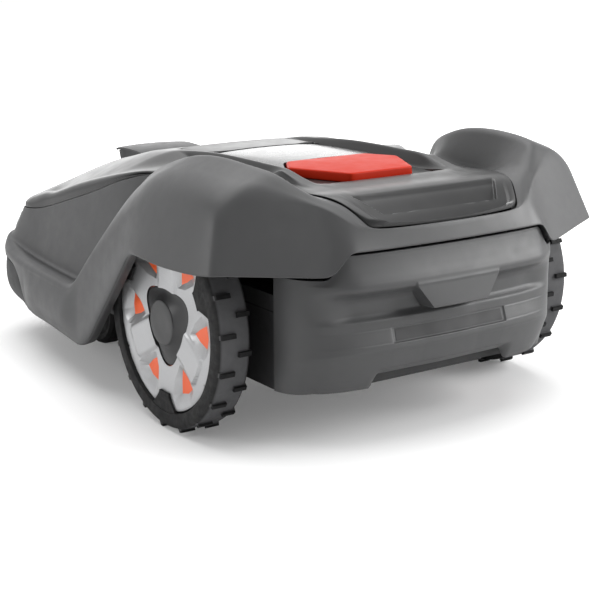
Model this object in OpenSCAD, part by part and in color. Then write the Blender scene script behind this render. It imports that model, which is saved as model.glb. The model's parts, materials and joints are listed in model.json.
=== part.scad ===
// Robotic lawn mower: a sprung body over a sealed chassis, two driven rear wheels,
// two front castors, a height-adjusted cutting disc and a hatch over the controls.
// Frame: +X right, +Y forward, +Z up, origin under the middle of the outline.

/* [Body] */
// Overall length from the rear panel to the front of the body
overall_l = 720; // [716:1:724]
// Overall width across the lower edges of the fenders
overall_w = 560; // [556:1:564]
// Wall thickness of the moulded body
wall = 3; // [2.5:0.1:3.5]
// Height of the fender crest above the ground
crest_z = 306; // [303:1:308]
// Free play of the sprung body along the travel direction, each way
float_travel = 8; // [4:1:9]

/* [Wheels] */
// Diameter of the driven rear wheels over the lugs
wheel_d = 245; // [241:1:247]
// Distance from the middle of the machine back to the rear axle
axle_back = 155; // [152:1:158]
// Distance from the centre plane to the outer face of a rear tyre
wheel_face_x = 247.5; // [246:0.5:249]
// Width of the rear tyre
tyre_w = 43; // [40:1:45]
// Lugs in each of the two rows of the tread
lug_count = 18; // [18:18:36]
// Diameter of a front castor wheel
castor_d = 100; // [96:1:104]
// Distance from the centre plane to a castor's swivel axis
castor_x = 142; // [140:1:144]
// Distance of the castor swivel axes in front of the middle
castor_y = 215; // [213:1:217]
// Trail of a castor wheel behind its swivel axis
castor_trail = 22; // [18:1:24]

/* [Cutting unit] */
// Diameter of the cutting disc
disc_d = 230; // [220:2:236]
// Height of the blades above the ground in the highest setting
cut_high = 58; // [56:1:60]
// Height range of the cutting unit
cut_range = 40; // [30:1:40]
// Position of the disc axis in front of the middle
disc_y = 45; // [43:1:47]

/* [Controls] */
// Travel of the stop button
stop_travel = 4; // [2:0.5:4.5]
// Travel of a key on the control panel
key_travel = 1.2; // [0.8:0.1:1.5]
// Radial running clearance of shafts and pins
run_gap = 0.05; // [0.03:0.01:0.08]

/* [Hidden] */
$fn = 64;
eps = 0.01;

// Derived positions
axle_y = -axle_back;
wheel_r = wheel_d / 2;
front_y = overall_l / 2;
rear_y = -overall_l / 2;
side_x = overall_w / 2;
skin = "dimgray";
dark = "#2b2c2e";
black = "#161718";
steel = "silver";

// Feature lines of the body, right half, from the front centre round to the rear
// centre. Each point is [x, y, z]. Lower edge of the skirt and of the fender
edge_line = [
    [0, 359, 106], [112, 356, 107], [205, 351, 108], [234, 311, 109], [241, 254, 110],
    [244, 230, 84], [247, 210, 54], [252, 150, 57], [258, 90, 57], [262, 52, 57], [265, 26, 57],
    [267, 2, 57], [269, -32, 96], [272, -78, 141], [275, -118, 184], [277, -140, 203],
    [282, -190, 199], [277, -246, 200], [270, -279, 202], [262.5, -293, 203], [239, -303.5, 202],
    [170, -336, 197], [150, -343, 195], [135, -346, 221], [122, -347, 219], [60, -350, 219],
    [0, -352, 219]];
// Crease at the top of the outer face
crease_line = [
    [0, 361.5, 131], [116, 359, 130], [208, 352, 127], [233, 311, 121], [245, 254, 119],
    [247, 230, 119], [249, 208, 119], [254, 150, 120], [258, 90, 120], [259, 54, 119],
    [257, 34, 135], [256, 6, 163], [254, -28, 197], [252, -74, 240], [250, -112, 268],
    [249, -136, 277], [248, -188, 282], [247.5, -236, 282], [242.5, -259, 279.5],
    [236, -269, 278.5], [210, -279, 291], [157, -305, 270], [141, -317, 262], [126, -329, 251],
    [112, -340, 238], [60, -346, 236], [0, -348, 236]];
// Crest, the highest line of skirt and fender
crest_line = [
    [0, 352, 144], [116, 350, 143], [208, 349, 138], [228, 310, 130], [237, 252, 123],
    [239, 230, 122], [241, 208, 122], [246, 150, 123], [251, 90, 123], [253, 56, 122],
    [251, 38, 139], [248, 10, 170], [227, -28, 220], [203, -66, 276], [194, -104, 291.5],
    [189.5, -140, 303.5], [188, -188, 308], [187, -230, 305.5], [185, -250, 303.5],
    [182.5, -264, 302], [178, -278, 298], [154, -301, 271], [138, -314, 264], [121, -328, 252],
    [108, -340, 240], [60, -345, 239], [0, -347, 239]];
// Valley between the fender and the upper body
valley_line = [
    [0, 342, 140], [114, 338, 140], [205, 344, 139], [219, 311, 128], [219, 256, 119],
    [220, 228, 115], [222, 207, 114], [226, 150, 114], [229, 90, 114], [229, 58, 114],
    [227, 38, 126], [225, 8, 148], [220, -26, 184], [199, -72, 246], [172, -108, 262],
    [162, -138, 254], [158, -190, 248], [156, -230, 254], [152, -252, 268], [150, -268, 273],
    [146, -283, 274], [134, -306, 268], [124, -317, 261], [113, -330, 250], [105, -339, 240],
    [60, -344, 239.5], [0, -346, 239.5]];
// Seam where the body meets the top cover
seam_line = [
    [0, 338, 172], [112, 333, 172], [184, 330, 172], [203, 312, 173], [203, 268, 177],
    [201, 238, 184], [202, 212, 191], [202, 150, 209], [201, 90, 227], [200, 56, 239],
    [199, 34, 247], [196, 6, 255], [188, -26, 264], [158, -76, 264], [134, -110, 256],
    [128, -140, 252], [126, -190, 250], [127, -230, 256], [130, -252, 265], [130, -270, 268],
    [126, -288, 268], [119, -308, 264], [113, -318, 258], [105, -332, 246], [99, -338, 239],
    [58, -342, 238], [0, -344, 238]];

// Ledge under the top cover, lip under the edge, and the roundings of the lines
ledge_drop = 9;
ledge_w = 30;
ledge_extra = 16;
lip_w = 16;
lip_rise = 3;
valley_round = 14;
crest_round = 10;
crease_round = 34;
edge_round = 3;
ring_steps = 2;
round_steps = 2;

// Knots [y, z] of the top cover: middle, ridge and shoulder heights
middle_knots = [
    [-346, 238], [-331, 250], [-300, 268], [-262, 270], [-236, 269], [-190, 265], [0, 264],
    [66, 267], [84, 270], [120, 264.5], [195, 245], [240, 230], [280, 211], [312, 191], [338, 174]];
ridge_knots = [
    [-346, 238], [-331, 250], [-300, 268], [-262, 270], [-232, 271], [-205, 275.5], [-176, 281],
    [-134, 281.5], [-91, 281.5], [-30, 280], [41, 274.5], [95, 269], [150, 256], [195, 245],
    [240, 230], [280, 211], [312, 191], [338, 174]];
shoulder_knots = [
    [-346, 239], [-331, 251], [-300, 268], [-262, 270], [-232, 270], [-205, 269.5], [-178, 267],
    [-143, 264], [-112, 263], [-76, 266], [-28, 266.5], [7, 262], [76, 247], [150, 228],
    [192, 215], [223, 206], [260, 199], [300, 187], [338, 174]];
// Rows of the top cover: parameter along the seam and the y of the row's middle
cover_rows = [[3, 334.5], [3.3, 325], [3.7, 308], [4.2, 284], [4.8, 260], [5.5, 232], [6.2, 202],
    [6.6, 176], [7, 148], [7.4, 124], [7.8, 102], [8.1, 84], [8.6, 66], [9.2, 48], [9.9, 28],
    [10.6, 8], [11.2, -12], [11.8, -32], [12.3, -52], [12.8, -72], [13.4, -94], [14, -112],
    [14.6, -132], [15.2, -152], [16, -190], [16.6, -214], [17.2, -236], [18, -254], [19, -274],
    [20, -292], [20.8, -306], [21.4, -314], [22, -322], [22.6, -330], [23.2, -336], [24, -343]];
// Power of the bow of these rows: at the rear, and its gain toward the front
row_bows = [2, 2];
row_bow_y = [240, 320];
hole_first_row = 11;
hole_last_row = 26;
hole_x = 82;
cover_gap = 1.6;
cover_wall = 3;
roll_w = 14;
shoulder_power = 1.6;
// Columns of the top cover inside the ridge foot, and outside it as shares of the rest
inner_columns = [0, 28, 56, hole_x, 88, 92, 96, 99, 103, 107];
outer_shares = [0.3, 0.65, 1];
roll_steps = [[0.45, 0.2], [0.8, 0.55], [1, 1]];
rim_gap = 0.3;
ridge_foot = [86, 97];
// Outer wall of the ridge: its x, its drop, and where along y it fades in and out
ridge_wall_x = [99, 107];
ridge_wall_drop = 11;
ridge_wall_rear = [-185, -150];
ridge_wall_front = [5, 55];
// Grip recess in the rear flap of the cover: where its ends begin and are complete
grip_rear = [-327, -322];
grip_front = [-306, -300];
grip_x = [76, 98];
grip_depth = 5;

// Vector helpers
function unit(v) = v / max(norm(v), eps);
function blend(a, b, t) = a * (1 - t) + b * t;
function clamp(t) = min(max(t, 0), 1);
function soft_step(a, b, t) = let(s = clamp((t - a) / (b - a))) s * s * (3 - 2 * s);
function flip_x(p) = [-p[0], p[1], p[2]];
function shift(p, n, out, up) = p + n * out + [0, 0, up];

// Closed line round the whole body, from the points of its right half
function round_trip(line) = concat(line, [for (k = [len(line) - 2 : -1 : 1]) flip_x(line[k])]);
// Point of a closed cubic spline at parameter u
function spline_at(p, u) =
    let(n = len(p), i = floor(u), t = u - i, s = 1 - t,
        a = p[(i + n - 1) % n], b = p[(i + n) % n], c = p[(i + 1) % n], d = p[(i + 2) % n])
    (a * s * s * s + b * (3 * t * t * t - 6 * t * t + 4)
        + c * (3 * s * s * s - 6 * s * s + 4) + d * t * t * t) / 6;
// Smooth curve through knots [x, value]
function knot_row(tab, x) = max(0, min(len(tab) - 2, len([for (r = tab) if (r[0] <= x) 1]) - 1));
function knot_slope(tab, i) =
    let(a = tab[max(i - 1, 0)], b = tab[min(i + 1, len(tab) - 1)]) (b[1] - a[1]) / (b[0] - a[0]);
function knot_at(tab, x) =
    let(i = knot_row(tab, x), a = tab[i], b = tab[i + 1], w = b[0] - a[0], t = clamp((x - a[0]) / w),
        t2 = t * t, t3 = t2 * t)
    a[1] * (2 * t3 - 3 * t2 + 1) + b[1] * (3 * t2 - 2 * t3)
        + knot_slope(tab, i) * w * (t3 - 2 * t2 + t) + knot_slope(tab, i + 1) * w * (t3 - t2);
// Rounded corner at b between a and c
function corner(a, b, c, r, steps) =
    let(d = min(r, 0.42 * norm(a - b), 0.42 * norm(c - b)),
        p = b + unit(a - b) * d, q = b + unit(c - b) * d)
    [for (k = [0 : steps]) let(t = k / steps) p * (1 - t) * (1 - t) + b * 2 * t * (1 - t) + q * t * t];

// Closed solid from two grids of the same size, outer side first
module sheet(outer, inner) {
    rows = len(outer);
    cols = len(outer[0]);
    span = rows * cols;
    points = concat([for (r = outer) each r], [for (r = inner) each r]);
    skins = [for (i = [0 : rows - 2], j = [0 : cols - 2])
        let(a = i * cols + j, b = a + 1, c = a + cols, d = c + 1)
        each [[a, c, b], [b, c, d], [a + span, b + span, c + span], [b + span, d + span, c + span]]];
    ends = [for (j = [0 : cols - 2], i = [0, rows - 1])
        let(a = i * cols + j, b = a + 1)
        each i == 0 ? [[a, b, a + span], [b, b + span, a + span]]
            : [[a, a + span, b], [b, a + span, b + span]]];
    sides = [for (i = [0 : rows - 2], j = [0, cols - 1])
        let(a = i * cols + j, c = a + cols)
        each j == 0 ? [[a, a + span, c], [c, a + span, c + span]]
            : [[a, c, a + span], [c, c + span, a + span]]];
    polyhedron(points, concat(skins, ends, sides));
}

// Closed solid from rings of a closed section, the rings forming a loop
module ring_solid(rings) {
    n = len(rings);
    m = len(rings[0]);
    polyhedron([for (r = rings) each r], [for (i = [0 : n - 1], j = [0 : m - 1])
        let(a = i * m + j, b = i * m + (j + 1) % m, c = ((i + 1) % n) * m + j,
            d = ((i + 1) % n) * m + (j + 1) % m)
        each [[a, b, c], [b, d, c]]]);
}

// Closed solid from stacked closed outlines, lowest first
module stack_solid(rings) {
    n = len(rings);
    m = len(rings[0]);
    polyhedron([for (r = rings) each r], concat(
        [[for (j = [0 : m - 1]) j]],
        [[for (j = [m - 1 : -1 : 0]) (n - 1) * m + j]],
        [for (i = [0 : n - 2], j = [0 : m - 1])
            let(a = i * m + j, b = i * m + (j + 1) % m, c = a + m, d = b + m)
            each [[a, c, b], [b, c, d]]]));
}

// Rectangle with true round corners
module round_rect(w, l, r) {
    square([w - 2 * r, l], center = true);
    square([w, l - 2 * r], center = true);
    for (sx = [-1, 1], sy = [-1, 1])
        translate([sx * (w / 2 - r), sy * (l / 2 - r)])
            circle(r);
}

module offset_rect(size, d, r) {
    round_rect(size[0] + 2 * d, size[1] + 2 * d, r + d);
}

// Body lines as closed loops
edge_loop = round_trip(edge_line);
crease_loop = round_trip(crease_line);
crest_loop = round_trip(crest_line);
valley_loop = round_trip(valley_line);
seam_loop = round_trip(seam_line);
loop_n = len(edge_loop);

// Outward direction in plan, from the run of the lower edge
function outward(u) =
    let(a = spline_at(edge_loop, (u - 0.25 + loop_n) % loop_n), b = spline_at(edge_loop, (u + 0.25) % loop_n))
    unit([a[1] - b[1], b[0] - a[0], 0]);

// Section of the body shell at u: ledge, seam, valley, crest, crease, edge, lip, then the inside
function shell_section(u) =
    let(n = outward(u), e = spline_at(edge_loop, u), k = spline_at(crease_loop, u),
        c = spline_at(crest_loop, u), v = spline_at(valley_loop, u), s = spline_at(seam_loop, u),
        lip = shift(e, n, -lip_w, lip_rise), foot = shift(s, n, -0.6, -ledge_drop),
        turn_c = corner(v, c, k, crest_round, round_steps),
        turn_k = corner(c, k, e, crease_round, round_steps),
        ledge = shift(s, n, -ledge_w - ledge_extra * soft_step(150, 190, abs(s[0])), -ledge_drop))
    concat([ledge, foot, s], corner(s, v, c, valley_round, round_steps),
        turn_c, turn_k, corner(k, e, lip, edge_round, 1),
        [lip, shift(lip, n, 0, wall), shift(e, n, -1.3 * wall, wall),
        shift(turn_k[round_steps / 2], n, -wall, -0.7 * wall),
        shift(turn_c[round_steps / 2], n, -0.8 * wall, -1.1 * wall), shift(v, n, -0.9 * wall, -1.1 * wall),
        shift(foot, n, -wall, -wall), shift(ledge, n, 0, -wall)]);

module body_shell() {
    color(skin)
        ring_solid([for (k = [0 : loop_n * ring_steps - 1]) shell_section(k / ring_steps)]);
}

// Height of the top cover at [x, y], before its rolled edge. The ridge stands at |x| about 100
function cover_z(x, y) =
    let(a = abs(x), m = knot_at(middle_knots, y), r = knot_at(ridge_knots, y),
        f = soft_step(ridge_foot[0], ridge_foot[1], a),
        g = soft_step(grip_rear[0], grip_rear[1], y) * (1 - soft_step(grip_front[0], grip_front[1], y))
            * (1 - soft_step(grip_x[0], grip_x[1], a)),
        w = soft_step(ridge_wall_x[0], ridge_wall_x[1], a) * soft_step(ridge_wall_rear[0], ridge_wall_rear[1], y)
            * (1 - soft_step(ridge_wall_front[0], ridge_wall_front[1], y)))
    m + (r - m) * f - ridge_wall_drop * w - grip_depth * g;

// Row of the top cover at parameter u whose middle lies at y. Rows near the front bow less in the middle
function row_bow(y) = row_bows[0] + row_bows[1] * soft_step(row_bow_y[0], row_bow_y[1], y);
function cover_row(u, y) =
    let(s = shift(spline_at(seam_loop, u), outward(u), -cover_gap, 0),
        xr = s[0] - roll_w, x0 = inner_columns[len(inner_columns) - 1],
        zs = max(knot_at(shoulder_knots, s[1]), s[2] + 1),
        f = min(1, (xr - 3) / x0),
        half = concat(inner_columns * f, [for (t = outer_shares) blend(x0 * f, xr, t)]),
        ys = [for (x = half) y + (s[1] - y) * pow(x / s[0], row_bow(y))],
        zs_in = [for (i = [0 : len(half) - 1])
            let(t = pow(clamp((half[i] - x0) / max(xr - x0, 1)), shoulder_power))
            blend(cover_z(half[i], ys[i]), zs, t)],
        flat = [for (i = [0 : len(half) - 1]) [half[i], ys[i], zs_in[i]]],
        roll = [for (q = roll_steps) let(x = xr + roll_w * q[0])
            [x, y + (s[1] - y) * pow(x / s[0], row_bow(y)), blend(zs, s[2], q[1])]],
        right = concat(flat, roll))
    concat([for (i = [len(right) - 1 : -1 : 1]) flip_x(right[i])], right);

cover_grid = [for (r = cover_rows) cover_row(r[0], r[1])];
cover_cols = len(cover_grid[0]);
cover_mid = (cover_cols - 1) / 2;
function in_hole(i, j) =
    i >= hole_first_row && i < hole_last_row && j >= cover_mid - 3 && j < cover_mid + 3;
function has_cell(i, j) =
    i >= 0 && j >= 0 && i < len(cover_grid) - 1 && j < cover_cols - 1 && !in_hole(i, j);

// The cover is a skin of even thickness with an opening over the console
module top_cover() {
    rows = len(cover_grid);
    span = rows * cover_cols;
    last = cover_cols - 1;
    rim = ledge_drop - rim_gap;
    lower = [for (r = cover_grid) [for (j = [0 : last])
        r[j] - [0, 0, j == 0 || j == last ? rim : cover_wall]]];
    cells = [for (i = [0 : rows - 2], j = [0 : cover_cols - 2]) if (has_cell(i, j)) [i, j]];
    used = [for (i = [0 : rows - 1], j = [0 : cover_cols - 1])
        has_cell(i, j) || has_cell(i - 1, j) || has_cell(i, j - 1) || has_cell(i - 1, j - 1)];
    rank = [for (k = 0, n = 0; k < span; n = n + (used[k] ? 1 : 0), k = k + 1) n];
    total = len([for (q = used) if (q) 1]);
    flat_points = [for (layer = [cover_grid, lower]) each [for (r = layer) each r]];
    points = [for (k = [0 : 2 * span - 1]) if (used[k % span]) flat_points[k]];
    faces = [for (q = cells)
        let(i = q[0], j = q[1], a = rank[i * cover_cols + j], b = rank[i * cover_cols + j + 1],
            c = rank[(i + 1) * cover_cols + j], d = rank[(i + 1) * cover_cols + j + 1], t = total)
        each concat([[a, b, c], [b, d, c], [a + t, c + t, b + t], [b + t, c + t, d + t]],
            has_cell(i - 1, j) ? [] : [[a, a + t, b], [b, a + t, b + t]],
            has_cell(i + 1, j) ? [] : [[c, d, c + t], [d, d + t, c + t]],
            has_cell(i, j - 1) ? [] : [[a, c, a + t], [c, c + t, a + t]],
            has_cell(i, j + 1) ? [] : [[b, b + t, d], [d, b + t, d + t]])];
    color("gray")
        polyhedron(points, faces);
}

// Lower front of the body, a separate bumper below the seam of the skirt
bumper_gap = 0.4;
bumper_bottom_z = 55;
bumper_u = 5.9;
bumper_wall = 4;
bumper_steps = 32;
bumper_narrow = 0.985;
bumper_back = 5;
bumper_belly = 12;
bumper_tuck = 7;
bumper_full_h = 50;
bumper_levels = [0, 0.12, 0.4, 0.7, 0.9, 1];
function bumper_section(u, inset) =
    let(n = outward(u), e = spline_at(edge_loop, u),
        top = shift(e, n, -0.5 - inset, -bumper_gap),
        low = shift([e[0] * bumper_narrow, e[1] - bumper_back, bumper_bottom_z], n, -inset, 0),
        size = max(top[2] - bumper_bottom_z, 1) / bumper_full_h)
    [for (t = bumper_levels)
        shift(blend(top, low, t), n, (bumper_belly * t * (1 - t) - bumper_tuck * pow(t, 6)) * size, 0)];
module front_bumper() {
    us = [for (k = [0 : bumper_steps]) (bumper_u * (1 - 2 * k / bumper_steps) + loop_n) % loop_n];
    color(dark)
        sheet([for (u = us) bumper_section(u, 0)], [for (u = us) bumper_section(u, bumper_wall)]);
}

// Sensor housing that stands on the hood like the bill of a cap: rows of y, half-width, height
visor_rows = [[246, 50, 241.5], [264, 50.5, 243], [285, 51, 243.5], [305, 52, 243], [320, 52.5, 242],
    [326, 52.5, 240]];
visor_columns = [-1, -0.94, -0.8, -0.4, 0, 0.4, 0.8, 0.94, 1];
visor_embed = 1.2;
visor_wall = 2.5;
visor_bow = 8;
visor_bow_y = 312;
visor_crown = 0.8;
visor_edge = 0.3;
visor_taper = 0.97;
visor_back_y = 296;
visor_slope = 0.4;
function visor_top(r) = [for (t = visor_columns)
    [r[1] * t, r[0] - (r[0] > visor_bow_y ? visor_bow * t * t : 0),
        r[2] - visor_edge * pow(abs(t), 8) - visor_crown * t * t]];
function visor_base(r) = [for (p = visor_top(r))
    let(x = p[0] * visor_taper, y = min(p[1], visor_back_y + (p[1] - visor_back_y) * visor_slope))
    [x, y, min(cover_z(x, y) - visor_embed, p[2] - visor_wall)]];
module sensor_visor() {
    color(dark)
        sheet([for (r = visor_rows) visor_top(r)], [for (r = visor_rows) visor_base(r)]);
}

// Two round range sensors in the front face of the visor
sensor_x = 26;
sensor_r = 11;
sensor_z = 220;
sensor_y = [298, 319];
module range_sensors() {
    color(black)
        for (sx = [-1, 1])
            translate([sx * sensor_x, sensor_y[0], sensor_z])
                rotate([-90, 0, 0])
                    cylinder(r = sensor_r, h = sensor_y[1] - sensor_y[0]);
}

// Headlight lenses on the recessed wall of the front
lamp_u = [0.95, 2.55];
lamp_f = [0.28, 0.78];
lamp_steps = [8, 3];
lamp_out = 2.4;
lamp_in = -1;
lamp_bevel = 0.8;
function lamp_point(u, f, out) =
    shift(blend(spline_at(valley_loop, u), spline_at(seam_loop, u), f), outward(u), out, 0);
function lamp_grid(out) = [for (k = [0 : lamp_steps[0]]) [for (f = [0 : lamp_steps[1]])
    let(edge = f == 0 || f == lamp_steps[1] || k == 0 || k == lamp_steps[0])
    lamp_point(blend(lamp_u[1], lamp_u[0], k / lamp_steps[0]), blend(lamp_f[1], lamp_f[0], f / lamp_steps[1]),
        out - (edge ? lamp_bevel : 0))]];
module headlights() {
    color("white")
        for (m = [0, 1])
            mirror([m, 0, 0])
                sheet(lamp_grid(lamp_out), lamp_grid(lamp_in));
}

// Charging strips on the bumper
strip_x = 38;
strip_w = 9;
strip_deep = 8.5;
strip_in = 9;
strip_z = [66, 96];
module charging_contacts() {
    color("peru")
        for (sx = [-1, 1])
            translate([sx * strip_x - strip_w / 2, front_y - strip_in, strip_z[0]])
                cube([strip_w, strip_deep, strip_z[1] - strip_z[0]]);
}

// Sockets under the ledge that take the pins of the suspension posts
post_places = [[160, 200, 172.5], [-160, 200, 172.5], [108, -248, 240], [-108, -248, 240]];
post_pin_r = 4;
pocket_r = post_pin_r + float_travel + 1;
pocket_deep = 10;
socket_r = pocket_r + 2;
socket_top = 16;
module body_sockets() {
    color(black)
        for (p = post_places)
            translate(p)
                difference() {
                    cylinder(r = socket_r, h = socket_top);
                    translate([0, 0, -eps])
                        cylinder(r = pocket_r, h = pocket_deep);
                }
}

// Sealed chassis: tub with castor wells and a pocket for the cutting disc
tub_w = 360;
tub_bottom = 66;
tub_top = 150;
tub_wall = 3.5;
tub_rear = -312;
tub_front = 190;
nose_front = 286;
nose_w = 196;
pocket_r_disc = 136;
pocket_top = 96;
well_r = 80;
well_top = 110;
beam_l = 84;
beam_w = 350;
motor_hole_r = 46;
bush_r = 11;
bush_wall = 4;
stem_r = 8;
shaft_r = 8;
boss_r = 7;
screw_r = 2;
screw_head_r = 4.2;
screw_head_h = 4;
screw_sink = 5;
screw_hold = 9;
corner_r = 44;
nose_lap = 60;
axle_hole_r = 18;
board_post_r = 4;
rod_seat = 2;
screw_places = [[154, -284], [-154, -284], [165, -60], [-165, -60], [66, 262], [-66, 262]];
board_posts = [[68, -106], [-68, -106], [68, -64], [-68, -64]];
board_z = 118;
hatchway = [156, 76];
battery_y = -262;
switch_at = [128, -262];
switch_r = 14;
rod_x = 58;
rod_r = 5;
spindle_y = -30;
spindle_r = 6;
rod_bottom = pocket_top + tub_wall - rod_seat;

module tub_block(inset, bottom) {
    height = tub_top - bottom;
    translate([0, (tub_rear + tub_front) / 2, bottom])
        linear_extrude(height)
            round_rect(tub_w - 2 * inset, tub_front - tub_rear - 2 * inset, corner_r - inset);
    translate([0, (tub_front - nose_lap + nose_front) / 2, bottom])
        linear_extrude(height)
            round_rect(nose_w - 2 * inset, nose_front - tub_front + nose_lap - 2 * inset, corner_r - inset);
}
module castor_wells(r, top) {
    for (sx = [-1, 1])
        translate([sx * castor_x, castor_y, 0])
            cylinder(r = r, h = top);
}
module beam(inset, bottom) {
    translate([0, castor_y, bottom])
        linear_extrude(tub_top - bottom)
            round_rect(beam_w - 2 * inset, beam_l - 2 * inset, beam_l / 2 - inset - 1);
}
module chassis_tub() {
    color(black)
        difference() {
            union() {
                difference() {
                    union() {
                        tub_block(0, tub_bottom);
                        beam(0, well_top);
                    }
                    tub_block(tub_wall, tub_bottom + tub_wall);
                    beam(tub_wall, well_top + tub_wall);
                }
                intersection() {
                    castor_wells(well_r + tub_wall, well_top + tub_wall);
                    tub_block(0, tub_bottom);
                }
                translate([0, disc_y, tub_bottom])
                    cylinder(r = pocket_r_disc + tub_wall, h = pocket_top + tub_wall - tub_bottom, $fn = 96);
                for (p = screw_places)
                    translate([p[0], p[1], tub_bottom])
                        cylinder(r = boss_r, h = tub_top - tub_bottom);
                for (p = board_posts)
                    translate([p[0], p[1], tub_bottom + 1])
                        cylinder(r = board_post_r, h = board_z - tub_bottom - 1);
                for (sx = [-1, 1])
                    translate([sx * castor_x, castor_y, well_top])
                        cylinder(r = bush_r + bush_wall, h = tub_top - well_top);
            }
            castor_wells(well_r, well_top);
            translate([0, disc_y, 0])
                cylinder(r = pocket_r_disc, h = pocket_top, $fn = 96);
            translate([0, disc_y, 0])
                cylinder(r = motor_hole_r, h = tub_top);
            for (sx = [-1, 1])
                translate([sx * castor_x, castor_y, 0])
                    cylinder(r = bush_r, h = tub_top + 1);
            for (p = screw_places)
                translate([p[0], p[1], 0]) {
                    cylinder(r = screw_r, h = tub_top + 1);
                    cylinder(r = screw_head_r + 0.4, h = tub_bottom + screw_sink);
                }
            for (sx = [-1, 1])
                translate([sx * tub_w / 2, axle_y, wheel_r])
                    rotate([0, 90, 0])
                        cylinder(r = axle_hole_r, h = axle_hole_r, center = true);
            translate([-hatchway[0] / 2, battery_y - hatchway[1] / 2, 0])
                cube([hatchway[0], hatchway[1], tub_bottom + tub_wall + 1]);
            translate([switch_at[0], switch_at[1], 0])
                cylinder(r = switch_r + run_gap, h = tub_bottom + tub_wall + 1);
            for (sx = [-1, 1])
                translate([sx * rod_x, disc_y, rod_bottom])
                    cylinder(r = rod_r, h = tub_top - rod_bottom);
            translate([0, spindle_y, rod_bottom])
                cylinder(r = spindle_r + run_gap, h = tub_top - rod_bottom);
        }
}

// Upper deck with the tower that carries the console
seal_h = 1.5;
deck_z = tub_top + seal_h;
deck_top = 169;
tower_w = 150;
tower_y = [-214, 68];
tower_top = 240;
deck_wall = 3;
tower_corner = 16;
beam_step = 10;
module tower_block(inset, bottom, top) {
    translate([0, (tower_y[0] + tower_y[1]) / 2, bottom])
        linear_extrude(top - bottom)
            round_rect(tower_w - 2 * inset, tower_y[1] - tower_y[0] - 2 * inset, tower_corner - inset);
}
module deck_block(inset, bottom, top) {
    translate([0, 0, bottom - tub_bottom])
        intersection() {
            tub_block(inset, tub_bottom);
            translate([-side_x, rear_y, 0])
                cube([overall_w, overall_l, tub_bottom + top - bottom]);
        }
}
module chassis_deck() {
    color(black)
        difference() {
            union() {
                difference() {
                    union() {
                        deck_block(0, deck_z, deck_top);
                        translate([0, 0, deck_z - well_top])
                            intersection() {
                                beam(0, well_top);
                                translate([-side_x, 0, 0])
                                    cube([overall_w, front_y, well_top + deck_top - deck_z - beam_step]);
                            }
                        tower_block(0, deck_top - 1, tower_top);
                    }
                    deck_block(deck_wall, deck_z - 1, deck_top - deck_wall);
                    tower_block(deck_wall, deck_z - 1, tower_top + 1);
                }
                for (p = screw_places)
                    translate([p[0], p[1], deck_z])
                        cylinder(r = boss_r, h = deck_top - deck_z - 1);
            }
            for (p = screw_places)
                translate([p[0], p[1], 0])
                    cylinder(r = screw_r, h = deck_z + screw_hold);
        }
}

// Gasket between tub and deck
module deck_seal() {
    color("black")
        difference() {
            deck_block(0, tub_top, deck_z);
            deck_block(tub_wall, tub_top - 1, deck_z + 1);
            for (p = screw_places)
                translate([p[0], p[1], 0])
                    cylinder(r = screw_r, h = deck_z + 1);
        }
}

module chassis_screws() {
    color(steel)
        for (p = screw_places)
            translate([p[0], p[1], tub_bottom + 1]) {
                cylinder(r = screw_head_r, h = screw_head_h);
                cylinder(r = screw_r, h = deck_z + screw_hold - tub_bottom - 3);
            }
}

// Rear panel of the chassis: plan line of its right half, and its profile [height, out] downwards
panel_line = [[0, -350, 0], [60, -349, 0], [110, -345, 0], [145, -338, 0], [167, -326, 0],
    [180, -306, 0], [185, -281, 0], [186, -254, 0]];
panel_loop = concat([for (k = [len(panel_line) - 1 : -1 : 1]) flip_x(panel_line[k])], panel_line);
panel_mid = len(panel_line) - 1;
panel_rows = [[216.5, -1.2], [212, -0.4], [204, 2], [196, 5], [188, 8.9], [182, 10.2], [178, 10.2],
    [174.5, -8.5], [168, -10], [160, -10], [153.5, -10], [150, -10], [147, -8], [143.5, -4], [138, -3.4],
    [134.4, -3], [133.6, -2.9], [126, -0.5], [118.4, 2], [117.6, 2.1], [112, 3], [108, 1], [98, -2],
    [88, -5], [78, -9.5], [70, -13], [66, -15]];
// Columns of the panel as parameters from its middle; they close up at the tongue and at the plate
panel_turns = [0, 0.3, 0.6, 0.8, 0.93, 0.99, 1.15, 1.36, 1.42, 1.75, 2.1, 2.5, 2.9, 3.3, 3.7, 4.2,
    4.7, 5.3, 6];
panel_us = concat([for (k = [len(panel_turns) - 1 : -1 : 1]) panel_mid - panel_turns[k]],
    [for (t = panel_turns) panel_mid + t]);
panel_wall = 4;
panel_fade = [165, 187];
panel_step_x = [129, 156];
panel_step_z = 192;
panel_brow_z = 186;
panel_foot_z = 90;
panel_foot_x = [88, 100];
panel_low_z = [82, 67];
tongue_z = [152, 178];
tongue_x = [36, 56];
tongue_out = [6, 10.4];
tongue_beside = [58, 76];
plate_z = [118, 134];
plate_x = 78;
plate_deep = 1.4;
panel_block = [24, 25.8, 18];
panel_block_at = [120, 92];
function panel_height(x, z) =
    let(top = panel_rows[0][0], low = panel_rows[len(panel_rows) - 1][0],
        high = blend(top, panel_step_z, soft_step(panel_step_x[0], panel_step_x[1], abs(x))),
        foot = blend(panel_low_z[0], panel_low_z[1], soft_step(panel_foot_x[0], panel_foot_x[1], abs(x))))
    z > panel_brow_z ? blend(panel_brow_z, high, (z - panel_brow_z) / (top - panel_brow_z))
        : z < panel_foot_z ? blend(panel_foot_z, foot, (panel_foot_z - z) / (panel_foot_z - low)) : z;
// Share of the tongue's height, from its lower corners to the brow
function tongue_share(z) = clamp((z - tongue_z[0]) / (tongue_z[1] - tongue_z[0]));
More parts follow.
